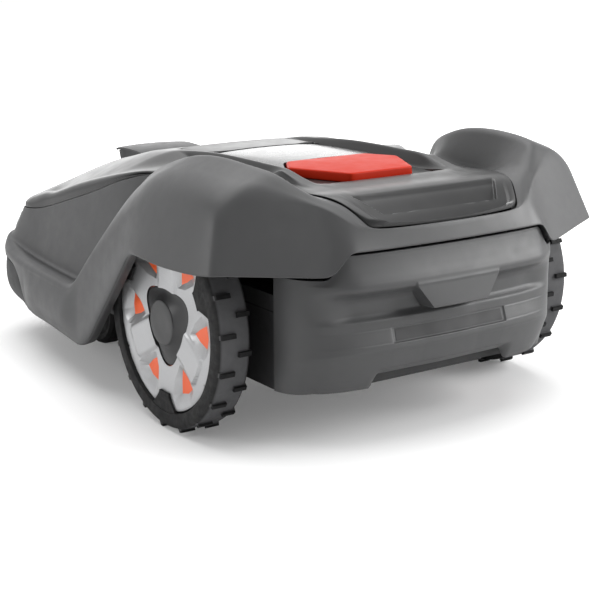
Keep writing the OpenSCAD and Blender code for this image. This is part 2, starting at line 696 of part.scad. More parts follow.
// Columns beside the tongue follow its slanting sides
function panel_x(x, z) =
    let(a = abs(x), f = blend(tongue_x[0], tongue_x[1], tongue_share(z)) / tongue_x[1],
        inner = tongue_beside[0], outer = tongue_beside[1])
    sign(x) * (a < inner ? a * f : a < outer ? blend(inner * f, outer, (a - inner) / (outer - inner)) : a);
function panel_out(x, row) =
    let(z = row[0], a = abs(x))
    a < tongue_x[1] && z > tongue_z[0] && z < tongue_z[1]
        ? blend(tongue_out[0], tongue_out[1], tongue_share(z))
        : a < plate_x && z > plate_z[0] && z < plate_z[1] ? row[1] - plate_deep : row[1];
// The inside keeps its distance from the lowest of three neighbouring rows
function panel_inner(i) =
    let(last = len(panel_rows) - 1)
    min(panel_rows[max(i - 1, 0)][1], panel_rows[i][1], panel_rows[min(i + 1, last)][1]);
function panel_grid(inside) = [for (u = panel_us)
    let(p = spline_at(panel_loop, u), d = spline_at(panel_loop, u + 0.1) - spline_at(panel_loop, u - 0.1),
        n = unit([d[1], -d[0], 0]), fade = 1 - soft_step(panel_fade[0], panel_fade[1], abs(p[0])))
    [for (i = [0 : len(panel_rows) - 1])
        let(row = panel_rows[i],
            out = inside ? panel_inner(i) * fade - panel_wall : panel_out(p[0], row) * fade)
        [panel_x(p[0], row[0]), p[1], panel_height(p[0], row[0])] + n * out]];
module rear_panel() {
    color(skin) {
        sheet(panel_grid(false), panel_grid(true));
        for (sx = [-1, 1])
            translate([sx * panel_block_at[0], tub_rear, panel_block_at[1]])
                translate([-panel_block[0] / 2, -panel_block[1], 0])
                    cube(panel_block);
    }
}

// Battery, its cover under the chassis, and the control board
battery_size = [150, 70, 58];
battery_lift = 2;
cover_plate = [172, 92, 3];
cover_corner = 8;
cover_hole = [81, 41];
cover_hole_r = 2.5;
module battery_pack() {
    color("darkslategray")
        translate([-battery_size[0] / 2, battery_y - battery_size[1] / 2, tub_bottom + battery_lift])
            cube(battery_size);
}
module battery_cover() {
    color(dark)
        translate([0, battery_y, tub_bottom - cover_plate[2]])
            difference() {
                linear_extrude(cover_plate[2])
                    round_rect(cover_plate[0], cover_plate[1], cover_corner);
                for (sx = [-1, 1], sy = [-1, 1])
                    translate([sx * cover_hole[0], sy * cover_hole[1], -eps])
                        cylinder(r = cover_hole_r, h = cover_plate[2] / 2);
            }
}
board_size = [152, 56, 1.6];
board_y = -85;
chip_size = [18, 14];
chip_places = [[-50, -8, 9], [-12, 6, 5], [30, -4, 12], [56, 8, 7]];
module main_board() {
    color("darkgreen")
        translate([0, board_y, board_z]) {
            translate([-board_size[0] / 2, -board_size[1] / 2, 0])
                cube(board_size);
            for (p = chip_places)
                translate([p[0] - chip_size[0] / 2, p[1] - chip_size[1] / 2, board_size[2] - eps])
                    cube([chip_size[0], chip_size[1], p[2]]);
        }
}

// Wheel gear motors with an output bore, one on each side
gear_r = 33;
gear_x = [126, 176.5];
gear_back = 14;
motor_r = 22;
motor_x = [54, 126];
module drive_motor() {
    translate([0, axle_y, wheel_r])
        rotate([0, 90, 0])
            difference() {
                union() {
                    translate([0, 0, gear_x[0]])
                        cylinder(r = gear_r, h = gear_x[1] - gear_x[0]);
                    translate([0, 0, motor_x[0]])
                        cylinder(r = motor_r, h = motor_x[1] - motor_x[0]);
                }
                translate([0, 0, gear_x[0] + gear_back])
                    cylinder(r = shaft_r + run_gap, h = gear_x[1] - gear_x[0]);
            }
}
module right_drive_motor() {
    color("gray")
        drive_motor();
}
module left_drive_motor() {
    color("gray")
        mirror([1, 0, 0])
            drive_motor();
}

// Elastic posts that carry the body, each with a pin in its socket
post_r = 9;
post_flange_r = 18;
post_flange_h = 3;
post_gap = 0.4;
post_pin_h = 5;
function post_base(p) = p[1] > 0 ? deck_top - beam_step : deck_top;
module suspension_posts() {
    color(black)
        for (p = post_places)
            translate([p[0], p[1], 0]) {
                translate([0, 0, post_base(p)])
                    cylinder(r = post_r, h = p[2] - post_gap - post_base(p));
                translate([0, 0, p[2] - post_gap - post_flange_h])
                    cylinder(r = post_flange_r, h = post_flange_h);
                translate([0, 0, p[2] - post_flange_h])
                    cylinder(r = post_pin_r, h = post_pin_h + post_flange_h);
            }
}

// Console on the tower: control well, stop button guide, front tongue and hinge lugs
console_w = 156;
console_y = [-222, 2];
console_top = 262;
console_corner = 16;
well_x = 70;
well_y = [-106, -4];
well_floor = 250;
floor_under = 246;
above = 40;
stem_size = [60, 40];
stem_y = -165;
guide_gap = 0.3;
hinge_y = 9;
hinge_z = 267;
hinge_r = 4;
pin_r = 2;
pin_l = 18;
pin_x = 68;
lug_x = [71, 77];
lug_w = 7;
key_size = [34, 18];
key_corner = 5;
key_x = 44;
key_y = [-62, -88];
// Front tongue: y, height and thickness where it bends; and the two steps below it
tongue_w = 154;
tongue_bends = [[18, 257, 16], [70, 256, 11.5], [75, 254, 8.5], [96, 250, 4]];
step_near = [-6, 20, 16];
step_far = [10, 54, 18];
module console_step(at) {
    translate([-console_w / 2, at[0], tower_top])
        cube([console_w, at[1], at[2]]);
}
module tongue_end(at) {
    translate([-tongue_w / 2, at[0], at[1]])
        cube([tongue_w, 1, at[2]]);
}
module console_frame() {
    color(black)
        difference() {
            union() {
                translate([0, (console_y[0] + console_y[1]) / 2, tower_top])
                    linear_extrude(console_top - tower_top)
                        round_rect(console_w, console_y[1] - console_y[0], console_corner);
                for (k = [1 : len(tongue_bends) - 1])
                    hull() {
                        tongue_end(tongue_bends[k - 1]);
                        tongue_end(tongue_bends[k]);
                    }
                console_step(step_near);
                console_step(step_far);
                for (sx = [-1, 1])
                    translate([sx * (lug_x[0] + lug_x[1]) / 2, hinge_y, 0]) {
                        translate([(lug_x[0] - lug_x[1]) / 2, -lug_w / 2, tower_top])
                            cube([lug_x[1] - lug_x[0], lug_w, hinge_z - tower_top]);
                        translate([0, 0, hinge_z])
                            rotate([0, 90, 0])
                                cylinder(r = hinge_r, h = lug_x[1] - lug_x[0], center = true);
                    }
            }
            translate([-well_x, well_y[0], well_floor])
                cube([2 * well_x, well_y[1] - well_y[0], above]);
            translate([-well_x, well_y[0], tower_top - 1])
                cube([2 * well_x, well_y[1] - well_y[0], floor_under - tower_top + 1]);
            translate([-stem_size[0] / 2 - guide_gap, stem_y - stem_size[1] / 2 - guide_gap, tower_top - 1])
                cube([stem_size[0] + 2 * guide_gap, stem_size[1] + 2 * guide_gap, above]);
            for (x = [-key_x, 0, key_x], y = key_y)
                translate([x, y, floor_under - 1])
                    linear_extrude(above)
                        offset_rect(key_size, guide_gap, key_corner);
            translate([0, hinge_y, hinge_z])
                rotate([0, 90, 0])
                    cylinder(r = pin_r, h = console_w + above, center = true);
        }
}
lens_size = [118, 42, 2];
lens_y = -28;
lens_corner = 4;
module display_lens() {
    color("darkslateblue")
        translate([0, lens_y, well_floor])
            linear_extrude(lens_size[2])
                round_rect(lens_size[0], lens_size[1], lens_corner);
}
module hatch_hinge_pin() {
    color(steel)
        for (sx = [-1, 1])
            translate([sx * pin_x, hinge_y, hinge_z])
                rotate([0, 90, 0])
                    cylinder(r = pin_r, h = pin_l, center = true);
}

// Keys in two rows under the hatch
key_top = well_floor + key_travel + 3.3;
key_foot = [2.5, 2.2];
module panel_key(x, y, paint) {
    foot_z = floor_under - guide_gap - key_foot[1];
    color(paint)
        translate([x, y, foot_z]) {
            linear_extrude(key_top - foot_z)
                round_rect(key_size[0], key_size[1], key_corner);
            linear_extrude(key_foot[1])
                offset_rect(key_size, key_foot[0], key_corner);
        }
}
module start_key() { panel_key(-key_x, key_y[0], "seagreen"); }
module park_key() { panel_key(0, key_y[0], "dimgray"); }
module mode_key() { panel_key(key_x, key_y[0], "dimgray"); }
module back_key() { panel_key(-key_x, key_y[1], "dimgray"); }
module confirm_key() { panel_key(0, key_y[1], "dimgray"); }
module power_key() { panel_key(key_x, key_y[1], "firebrick"); }

// Sheet whose first grid faces up when its rows run towards the rear
function backwards(row) = [for (k = [len(row) - 1 : -1 : 0]) row[k]];
module sheet_down(upper, lower) {
    sheet([for (r = upper) backwards(r)], [for (r = lower) backwards(r)]);
}

// Hatch over the controls: its rear edge follows the front of the stop button
hatch_front = 13;
hatch_rear = -112;
hatch_leg = 36;
hatch_leg_x = 54;
hatch_half = 84;
hatch_z = 275;
hatch_wall = 4;
hatch_crown = 2.6;
hatch_fall = 1.4;
hatch_edge = 1.5;
hatch_columns = [-84, -80, -73, -64, -56, -42, -28, -14, 0, 14, 28, 42, 56, 64, 73, 80, 84];
hatch_rows = [1, 0.97, 0.88, 0.83, 0.79, 0.6, 0.4, 0.2, 0.05, 0];
// Half-width by row: the front end is narrower, between the hinge lugs
hatch_neck = [[0.86, 70], [0.8, 75]];
knuckle_x = 65;
knuckle_l = 10;
function hatch_width(t) =
    t > hatch_neck[0][0] ? hatch_neck[0][1] : t > hatch_neck[1][0] ? hatch_neck[1][1] : hatch_half;
function hatch_point(x, t) =
    let(rear = hatch_rear - hatch_leg * soft_step(hatch_leg_x, hatch_half, abs(x)),
        s = x * hatch_width(t) / (hatch_half * hatch_half))
    [s * hatch_half, blend(rear, hatch_front, t),
        hatch_z - hatch_crown * s * s - hatch_fall * t * t - hatch_edge * pow(abs(s), 10)];
function hatch_grid(drop) = [for (t = hatch_rows) [for (x = hatch_columns) hatch_point(x, t) - [0, 0, drop]]];
module hatch() {
    color("gainsboro")
        difference() {
            union() {
                sheet_down(hatch_grid(0), hatch_grid(hatch_wall));
                for (sx = [-1, 1])
                    translate([sx * knuckle_x, hinge_y, hinge_z])
                        rotate([0, 90, 0])
                            cylinder(r = hinge_r - 0.2, h = knuckle_l, center = true);
            }
            translate([0, hinge_y, hinge_z])
                rotate([0, 90, 0])
                    cylinder(r = pin_r + run_gap, h = 2 * hatch_half, center = true);
        }
}

// Stop button: a six-sided cap with soft corners on a square stem; layers [height, inset]
button_corners = [[45, -225], [79, -152], [57, -115], [-57, -115], [-79, -152], [-45, -225]];
button_soft = 9;
button_low = console_top + stop_travel + 2.5;
button_layers = [[0, -1], [1.5, 0], [6.5, -0.5], [9.1, -2.5], [10.5, -6]];
button_points = 54;
stem_bottom = tower_top + stop_travel + 2;
function button_guides(inset) = [for (k = [0 : 5])
    let(p = button_corners[k], a = button_corners[(k + 5) % 6], b = button_corners[(k + 1) % 6],
        q = p + unit(p - [0, stem_y]) * inset)
    each [q + unit(a - p) * button_soft, q, q + unit(b - p) * button_soft]];
function button_ring(z, inset) = let(g = button_guides(inset))
    [for (k = [0 : button_points - 1]) let(p = spline_at(g, k * len(g) / button_points)) [p[0], p[1], z]];
module stop_button() {
    color("orangered") {
        stack_solid([for (l = button_layers) button_ring(button_low + l[0], l[1])]);
        translate([-stem_size[0] / 2, stem_y - stem_size[1] / 2, stem_bottom])
            cube([stem_size[0], stem_size[1], button_low + 1 - stem_bottom]);
    }
}

// Rear wheels, built on the right-hand axle and mirrored for the left
tread_r = wheel_r - 4;
bead_r = 90;
rim_r = 100;
tyre_in = wheel_face_x - tyre_w;
seat_x = wheel_face_x - 12.5;
lug_size = [5, 17];
lug_outer = wheel_face_x - 20.5;
lug_inner = tyre_in + 4;
lug_root = 2;
fine = 96;
// Tyre profile: [radius, from the inner face] and [radius, from the outer face]
tyre_inside = [[bead_r, 2], [104, 0], [113, 1.5], [117, 4], [tread_r, 7]];
tyre_outside = [[tread_r, 5], [117, 1.6], [114, 0], [rim_r + 1, 0]];
module on_axle() {
    translate([0, axle_y, wheel_r])
        rotate([0, 90, 0])
            children();
}
module tyre() {
    on_axle() {
        rotate_extrude($fn = fine)
            polygon(concat([for (p = tyre_inside) [p[0], tyre_in + p[1]]],
                [for (p = tyre_outside) [p[0], wheel_face_x - p[1]]],
                [[rim_r + 1, seat_x], [bead_r, seat_x]]));
        for (k = [0 : lug_count - 1], row = [0, 1])
            rotate([0, 0, (k + row / 2 + 1 / 4) * 360 / lug_count])
                translate([tread_r - lug_root, -lug_size[0] / 2, row == 0 ? lug_outer : lug_inner])
                    cube([wheel_r - tread_r + lug_root, lug_size[0], lug_size[1]]);
    }
}
// Wheel core: profile [radius, position], hub barrel and axle shaft
core_back = [[0, 206], [24, 206], [24, 214], [70, 214], [78, 207], [bead_r, 207]];
barrel_r = 20;
barrel_x = 190;
shaft_in = gear_x[0] + gear_back + 4;
module wheel_core() {
    on_axle() {
        rotate_extrude($fn = fine)
            polygon(concat(core_back, [[bead_r, seat_x], [0, seat_x]]));
        translate([0, 0, shaft_in])
            cylinder(r = shaft_r, h = seat_x - shaft_in - 1);
        translate([0, 0, barrel_x])
            cylinder(r = barrel_r, h = seat_x - barrel_x - 1);
    }
}
accent_t = 2;
accent_gap = 0.5;
cap_hole_r = 24;
cap_pocket_r = 48;
cap_seat = seat_x + 5;
module accent_disc() {
    on_axle()
        translate([0, 0, seat_x])
            linear_extrude(accent_t)
                difference() {
                    circle(bead_r - accent_gap, $fn = fine);
                    circle(cap_hole_r - 2);
                }
}
// Wheel cover: disc with three notches, six windows and three raised spokes; [radius, half-width]
notch_turn = 8;
window_turn = 29;
cover_t = 6;
spoke_foot = [[24, 17], [96, 27], [99, 0]];
spoke_top = [[28, 12], [91, 20], [94, 0]];
spoke_z = [4, 10.5];
// Notch and window corners as [radius, angle]
notch_shape = [[74, -8], [74, 8], [104, 12], [106, 0], [104, -12]];
window_shape = [[54, 4], [88, -11], [90, 0], [88, 12]];
function polar(r, a) = [r * cos(a), r * sin(a)];
function spoke_outline(p) = [[p[0][0], -p[0][1]], [p[1][0], -p[1][1]], p[2], p[1], p[0]];
module spoke_layer(shape, z) {
    translate([0, 0, seat_x + z])
        linear_extrude(1)
            polygon(spoke_outline(shape));
}
module wheel_cover() {
    on_axle()
        difference() {
            union() {
                translate([0, 0, seat_x + accent_t])
                    cylinder(r = rim_r, h = cover_t, $fn = fine);
                for (k = [0 : 2])
                    rotate([0, 0, notch_turn + 60 + 120 * k])
                        hull() {
                            spoke_layer(spoke_foot, spoke_z[0]);
                            spoke_layer(spoke_top, spoke_z[1]);
                        }
            }
            translate([0, 0, seat_x])
                cylinder(r = cap_hole_r, h = 5 * cover_t);
            translate([0, 0, cap_seat])
                cylinder(r = cap_pocket_r, h = 5 * cover_t);
            for (k = [0 : 2])
                rotate([0, 0, notch_turn + 120 * k])
                    translate([0, 0, seat_x])
                        linear_extrude(5 * cover_t)
                            polygon([for (q = notch_shape) polar(q[0], q[1])]);
            for (k = [0 : 2], side = [-1, 1])
                rotate([0, 0, notch_turn + 120 * k + side * window_turn])
                    translate([0, 0, seat_x])
                        linear_extrude(5 * cover_t)
                            polygon([for (q = window_shape) polar(q[0], side * q[1])]);
        }
}
// Hub cap: layers [position, inset] of a three-lobed outline, and its least radius
cap_layers = [[0, 0], [13, 0], [16.5, -3], [17.5, -8], [19.5, -15], [20.5, -18]];
cap_r = 40;
cap_lobes = [6, 1.5];
cap_least_r = 20;
cap_step = 7.5;
function cap_radius(a) =
    cap_r + cap_lobes[0] * cos(3 * (a - notch_turn)) + cap_lobes[1] * cos(6 * (a - notch_turn));
function cap_ring(l) = [for (a = [0 : cap_step : 360 - cap_step])
    let(q = polar(max(cap_radius(a) + l[1], cap_least_r), a)) [q[0], q[1], -cap_seat - l[0]]];
module hub_cap() {
    on_axle()
        mirror([0, 0, 1])
            stack_solid([for (l = backwards(cap_layers)) cap_ring(l)]);
}
module right_tyre() { color(black) tyre(); }
module left_tyre() { color(black) mirror([1, 0, 0]) tyre(); }
module right_wheel_core() { color(dark) wheel_core(); }
module left_wheel_core() { color(dark) mirror([1, 0, 0]) wheel_core(); }
module right_accent_disc() { color("orangered") accent_disc(); }
module left_accent_disc() { color("orangered") mirror([1, 0, 0]) accent_disc(); }
module right_wheel_cover() { color(steel) wheel_cover(); }
module left_wheel_cover() { color(steel) mirror([1, 0, 0]) wheel_cover(); }
module right_hub_cap() { color(dark) hub_cap(); }
module left_hub_cap() { color(dark) mirror([1, 0, 0]) hub_cap(); }

// Front castors, built on the right and mirrored for the left
castor_r = castor_d / 2;
castor_pin_r = 4;
fork_in = 16;
fork_t = 5;
fork_end_r = 10;
crown_z = 102;
crown_h = 6;
crown_y = [-17, 32];
stem_top = 148;
// Half of the castor wheel's profile [radius, half-width], from the bore outwards
castor_profile = [[castor_pin_r + run_gap, 14], [14, 14], [16, 9], [36, 9], [38, 12], [44, 14],
    [castor_r - 2, 11], [castor_r, 6]];
module at_castor() {
    translate([castor_x, castor_y, 0])
        children();
}
module castor_fork() {
    at_castor()
        difference() {
            union() {
                translate([0, 0, crown_z])
                    cylinder(r = stem_r, h = stem_top - crown_z);
                translate([-fork_in - fork_t, crown_y[0], crown_z])
                    cube([2 * (fork_in + fork_t), crown_y[1], crown_h]);
                for (sx = [-1, 1])
                    translate([sx * (fork_in + fork_t / 2) - fork_t / 2, 0, 0])
                        hull() {
                            translate([0, -castor_trail, castor_r])
                                rotate([0, 90, 0])
                                    cylinder(r = fork_end_r, h = fork_t, $fn = 32);
                            translate([0, crown_y[0], crown_z])
                                cube([fork_t, crown_y[1], crown_h]);
                        }
            }
            translate([0, -castor_trail, castor_r])
                rotate([0, 90, 0])
                    cylinder(r = castor_pin_r, h = castor_d, center = true);
        }
}
module castor_axle() {
    at_castor()
        translate([-fork_in - fork_t - 1, -castor_trail, castor_r])
            rotate([0, 90, 0])
                cylinder(r = castor_pin_r, h = 2 * (fork_in + fork_t) + 2);
}
module castor_wheel() {
    at_castor()
        translate([0, -castor_trail, castor_r])
            rotate([0, 90, 0])
                rotate_extrude($fn = fine)
                    polygon(concat([for (q = castor_profile) [q[0], -q[1]]], backwards(castor_profile)));
}
module right_castor_fork() { color(dark) castor_fork(); }
module left_castor_fork() { color(dark) mirror([1, 0, 0]) castor_fork(); }
module right_castor_axle() { color(steel) castor_axle(); }
module left_castor_axle() { color(steel) mirror([1, 0, 0]) castor_axle(); }
module right_castor_wheel() { color(black) castor_wheel(); }
module left_castor_wheel() { color(black) mirror([1, 0, 0]) castor_wheel(); }
module castor_bushes() {
    color("peru")
        for (sx = [-1, 1])
            translate([sx * castor_x, castor_y, well_top])
                difference() {
                    cylinder(r = bush_r, h = tub_top - well_top);
                    translate([0, 0, -1])
                        cylinder(r = stem_r + run_gap, h = tub_top);
                }
}

// Height adjustment: guide rods, spindle with its motor, and the carriage
carriage_gap = 10.5;
carriage_z = pocket_top + tub_wall + cut_range + carriage_gap;
carriage_h = 12;
rod_top = 216;
spindle_top = 206;
spindle_in = 8;
height_motor_r = 16;
bracket = [16, 4];
module guide_rods() {
    color(steel)
        for (sx = [-1, 1])
            translate([sx * rod_x, disc_y, rod_bottom])
                cylinder(r = rod_r, h = rod_top - rod_bottom);
}
module height_spindle() {
    color(steel)
        translate([0, spindle_y, rod_bottom])
            cylinder(r = spindle_r, h = spindle_top + spindle_in - rod_bottom);
}
module height_motor() {
    color("gray")
        translate([0, spindle_y, spindle_top])
            difference() {
                union() {
                    cylinder(r = height_motor_r, h = tower_top - spindle_top);
                    translate([deck_wall - tower_w / 2, -bracket[0] / 2, tower_top - spindle_top])
                        mirror([0, 0, 1])
                            cube([tower_w - 2 * deck_wall, bracket[0], bracket[1]]);
                }
                translate([0, 0, -1])
                    cylinder(r = spindle_r + run_gap, h = spindle_in + 3);
            }
}
motor_body_r = 38;
arm_w = 24;
eye_r = 12;
nut_r = 11;
module cutter_carriage() {
    color(dark)
        translate([0, 0, carriage_z])
            difference() {
                linear_extrude(carriage_h)
                    union() {
                        translate([0, disc_y])
                            circle(motor_body_r + 2);
                        translate([0, disc_y])
                            square([2 * rod_x, arm_w], center = true);
                        for (sx = [-1, 1])
                            translate([sx * rod_x, disc_y])
                                circle(eye_r);
                        translate([1 - nut_r, spindle_y])
                            square([2 * nut_r - 2, disc_y - spindle_y]);
                        translate([0, spindle_y])
                            circle(nut_r);
                    }
                for (sx = [-1, 1])
                    translate([sx * rod_x, disc_y, -1])
                        cylinder(r = rod_r + run_gap, h = carriage_h + 2);
                translate([0, spindle_y, -1])
                    cylinder(r = spindle_r + run_gap, h = carriage_h + 2);
            }
}
cut_motor_h = 54;
cut_shaft_r = 4;
cut_shaft_in = 24;
module cutting_motor() {
    color("gray")
        translate([0, disc_y, carriage_z - cut_motor_h])
            difference() {
                cylinder(r = motor_body_r, h = cut_motor_h);
                translate([0, 0, -1])
                    cylinder(r = cut_shaft_r + run_gap, h = cut_shaft_in + 10);
            }
}

// Cutting disc with its shaft, pivoting blades and a free skid plate below
blade_count = 3;
blade_turn = 90;
disc_r = disc_d / 2;
disc_h = 4;
disc_z = cut_high;
disc_hub = [26, 12];
disc_window = [60, 13];
pivot_r = 98;
blade_size = [42, 19, 0.8];
blade_heel = 10;
blade_drop = 1.4;
blade_hole_r = 3;
screw_head = [5, 2];
screw_drop = 4;
stub_r = 10;
stub_h = 10;
skid_r = 66;
skid_z = disc_z - 8;
skid_gap = 0.3;
skid_screw = [16, 3];
// Profile of the skid plate outside its bore [radius, height]
skid_profile = [[40, 0], [skid_r - 4, 3], [skid_r, 6], [skid_r, 6.6], [40, 4.2]];
module at_pivot(k) {
    rotate([0, 0, blade_turn + k * 360 / blade_count])
        translate([pivot_r, 0, 0])
            children();
}
module cutting_disc() {
    color(steel)
        translate([0, disc_y, 0])
            difference() {
                union() {
                    translate([0, 0, disc_z])
                        cylinder(r = disc_r, h = disc_h, $fn = fine);
                    translate([0, 0, disc_z])
                        cylinder(r = disc_hub[0], h = disc_hub[1]);
                    translate([0, 0, disc_z])
                        cylinder(r = cut_shaft_r, h = carriage_z - cut_motor_h + cut_shaft_in - disc_z);
                    translate([0, 0, skid_z])
                        cylinder(r = stub_r, h = stub_h);
                }
                for (k = [0 : blade_count - 1])
                    at_pivot(k)
                        translate([0, 0, disc_z - 1])
                            cylinder(r = blade_hole_r, h = disc_h + 2);
                for (k = [0 : 5])
                    rotate([0, 0, 60 * k])
                        translate([disc_window[0], 0, disc_z - 1])
                            cylinder(r = disc_window[1], h = disc_h + 2);
            }
}
module disc_fasteners() {
    color("dimgray")
        translate([0, disc_y, 0]) {
            for (k = [0 : blade_count - 1])
                at_pivot(k)
                    translate([0, 0, disc_z - screw_drop]) {
                        cylinder(r = blade_hole_r, h = disc_h + screw_drop);
                        cylinder(r = screw_head[0], h = screw_head[1]);
                    }
            translate([0, 0, skid_z - skid_screw[1]])
                cylinder(r = skid_screw[0], h = skid_screw[1]);
        }
}
module blade(k) {
    color("lightsteelblue")
        translate([0, disc_y, disc_z - blade_drop])
            at_pivot(k)
                difference() {
                    translate([-blade_heel, -blade_size[1] / 2, 0])
                        cube(blade_size);
                    translate([0, 0, -1])
                        cylinder(r = blade_hole_r + run_gap, h = blade_size[2] + 2);
                }
}
module blade_1() { blade(0); }
module blade_2() { blade(1); }
module blade_3() { blade(2); }
module skid_plate() {
    color(black)
        translate([0, disc_y, skid_z + skid_gap])
            rotate_extrude($fn = fine)
                polygon(concat([[stub_r + run_gap, 0]], skid_profile,
                    [[stub_r + run_gap, skid_profile[len(skid_profile) - 1][1]]]));
}

// Main switch under the chassis
switch_drop = 5;
switch_flange = [17, 5];
switch_grip = [6, 24, 5];
module main_switch() {
    color("orangered")
        translate([switch_at[0], switch_at[1], 0]) {
            translate([0, 0, tub_bottom - switch_drop])
                cylinder(r = switch_r, h = tub_wall + switch_drop + 1);
            translate([0, 0, tub_bottom + tub_wall + skid_gap])
                cylinder(r = switch_flange[0], h = switch_flange[1]);
            translate([-switch_grip[0] / 2, -switch_grip[1] / 2, tub_bottom - switch_drop + 1])
                mirror([0, 0, 1])
                    cube(switch_grip);
        }
}

chassis_tub();
chassis_deck();
deck_seal();
rear_panel();
chassis_screws();
battery_pack();
battery_cover();
main_board();
left_drive_motor();
right_drive_motor();
suspension_posts();
console_frame();
display_lens();
hatch_hinge_pin();
castor_bushes();
height_motor();
guide_rods();
height_spindle();
main_switch();
body_shell();
top_cover();
front_bumper();
sensor_visor();
range_sensors();
headlights();
charging_contacts();
body_sockets();
hatch();
stop_button();
start_key();
park_key();
mode_key();
back_key();
confirm_key();
power_key();
left_tyre();
left_wheel_cover();
left_accent_disc();
left_hub_cap();
left_wheel_core();
right_tyre();
right_wheel_cover();
right_accent_disc();
right_hub_cap();
right_wheel_core();
left_castor_fork();
left_castor_wheel();
left_castor_axle();
right_castor_fork();
right_castor_wheel();
right_castor_axle();
cutter_carriage();
cutting_motor();
cutting_disc();
disc_fasteners();
blade_1();
blade_2();
blade_3();
skid_plate();
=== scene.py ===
"""Looks of a robotic lawn mower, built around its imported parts.

The body is swept through the same feature lines as the solids, at a finer step. Lengths in the
shape functions are millimetres in the frame of the parts: +X right, +Y forward, +Z up.
"""

import json
import math

import bpy
import numpy as np
from bpy.props import FloatProperty, FloatVectorProperty, PointerProperty
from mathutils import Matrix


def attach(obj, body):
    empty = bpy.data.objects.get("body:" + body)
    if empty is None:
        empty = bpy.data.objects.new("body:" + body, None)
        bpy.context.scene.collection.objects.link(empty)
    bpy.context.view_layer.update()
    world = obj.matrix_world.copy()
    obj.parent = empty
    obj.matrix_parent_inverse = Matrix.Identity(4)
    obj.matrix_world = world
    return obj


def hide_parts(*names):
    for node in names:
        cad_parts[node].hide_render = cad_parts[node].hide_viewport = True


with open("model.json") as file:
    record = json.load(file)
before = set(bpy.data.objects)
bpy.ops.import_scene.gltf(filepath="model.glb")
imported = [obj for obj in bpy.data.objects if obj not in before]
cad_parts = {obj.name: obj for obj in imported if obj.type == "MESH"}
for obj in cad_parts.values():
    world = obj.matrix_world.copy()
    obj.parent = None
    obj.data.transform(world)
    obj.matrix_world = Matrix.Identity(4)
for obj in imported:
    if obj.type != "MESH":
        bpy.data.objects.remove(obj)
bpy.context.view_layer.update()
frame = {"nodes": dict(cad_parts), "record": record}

bl_info = {
    "name": "Robotic lawn mower",
    "version": (1, 0, 0),
    "blender": (4, 5, 0),
    "location": "View3D > Sidebar > Mower",
    "description": "Builds the visible pieces and finishes of a robotic lawn mower",
    "category": "Object",
}

MM = 0.001
UP = np.array([0.0, 0.0, 1.0])
MIRROR = np.array([-1, 1, 1])
# Places across a crowned piece, from -1 to 1 and closer at the sides
ACROSS = np.sin(np.radians(np.linspace(-90, 90, 41)))[None]

# Feature lines of the body, right half, from the front centre round to the rear centre
EDGE = np.array([
    [0, 359, 106], [112, 356, 107], [205, 351, 108], [234, 311, 109], [241, 254, 110],
    [244, 230, 84], [247, 210, 54], [252, 150, 57], [258, 90, 57], [262, 52, 57], [265, 26, 57],
    [267, 2, 57], [269, -32, 96], [272, -78, 141], [275, -118, 184], [277, -140, 203],
    [281, -190, 199], [276, -256, 200], [269, -286, 202], [263.5, -293.5, 203], [244, -301.5, 202],
    [170, -336, 197], [150, -343, 195], [135, -346, 221], [122, -347, 219], [60, -350, 219],
    [0, -352, 219]], float)
CREASE = np.array([
    [0, 361.5, 131], [116, 359, 130], [208, 352, 127], [233, 311, 121], [245, 254, 119],
    [247, 230, 119], [249, 208, 119], [254, 150, 120], [258, 90, 120], [259, 54, 119],
    [257, 34, 135], [256, 6, 163], [254, -28, 197], [252, -74, 240], [250, -112, 268],
    [249, -136, 277], [248, -188, 282], [246.5, -244, 282], [243, -263, 279.5],
    [238, -269.5, 278.8], [217, -277.5, 289], [157, -305, 270], [141, -317, 262], [126, -329, 251],
    [112, -340, 238], [60, -346, 236], [0, -348, 236]], float)
CREST = np.array([
    [0, 352, 144], [116, 350, 143], [208, 349, 138], [228, 310, 131], [231, 252, 124],
    [232, 230, 123], [234, 208, 123], [239, 150, 123], [243, 90, 123], [245, 56, 123],
    [251, 38, 139], [248, 10, 170], [224, -30, 228], [202, -66, 279], [194, -104, 291.5],
    [189.5, -140, 303.5], [188, -188, 308], [187, -230, 305.5], [185, -250, 303.5],
    [182.5, -264, 302], [178, -278, 298], [154, -301, 271], [138, -314, 264], [121, -328, 252],
    [108, -340, 240], [60, -345, 239], [0, -347, 239]], float)
VALLEY = np.array([
    [0, 342, 140], [114, 338, 140], [205, 344, 139], [219, 311, 131], [219, 256, 123],
    [220, 228, 120], [222, 207, 119], [226, 150, 119], [229, 90, 119], [229, 58, 119],
    [227, 38, 130], [225, 8, 148], [220, -26, 184], [199, -72, 246], [172, -108, 262],
    [162, -138, 254], [158, -190, 248], [156, -230, 254], [152, -252, 268], [150, -268, 273],
    [146, -283, 274], [134, -306, 268], [124, -317, 261], [113, -330, 250], [105, -339, 240],
    [60, -344, 239.5], [0, -346, 239.5]], float)
SEAM = np.array([
    [0, 338, 172], [112, 333, 172], [184, 330, 172], [203, 312, 173], [203, 268, 177],
    [201, 238, 184], [202, 212, 191], [202, 150, 209], [201, 90, 227], [200, 56, 239],
    [199, 34, 247], [196, 6, 255], [188, -26, 264], [158, -76, 264], [134, -110, 256],
    [128, -140, 252], [126, -190, 250], [127, -230, 256], [130, -252, 265], [130, -270, 268],
    [126, -288, 268], [119, -308, 264], [113, -318, 258], [105, -332, 246], [99, -338, 239],
    [58, -342, 238], [0, -344, 238]], float)

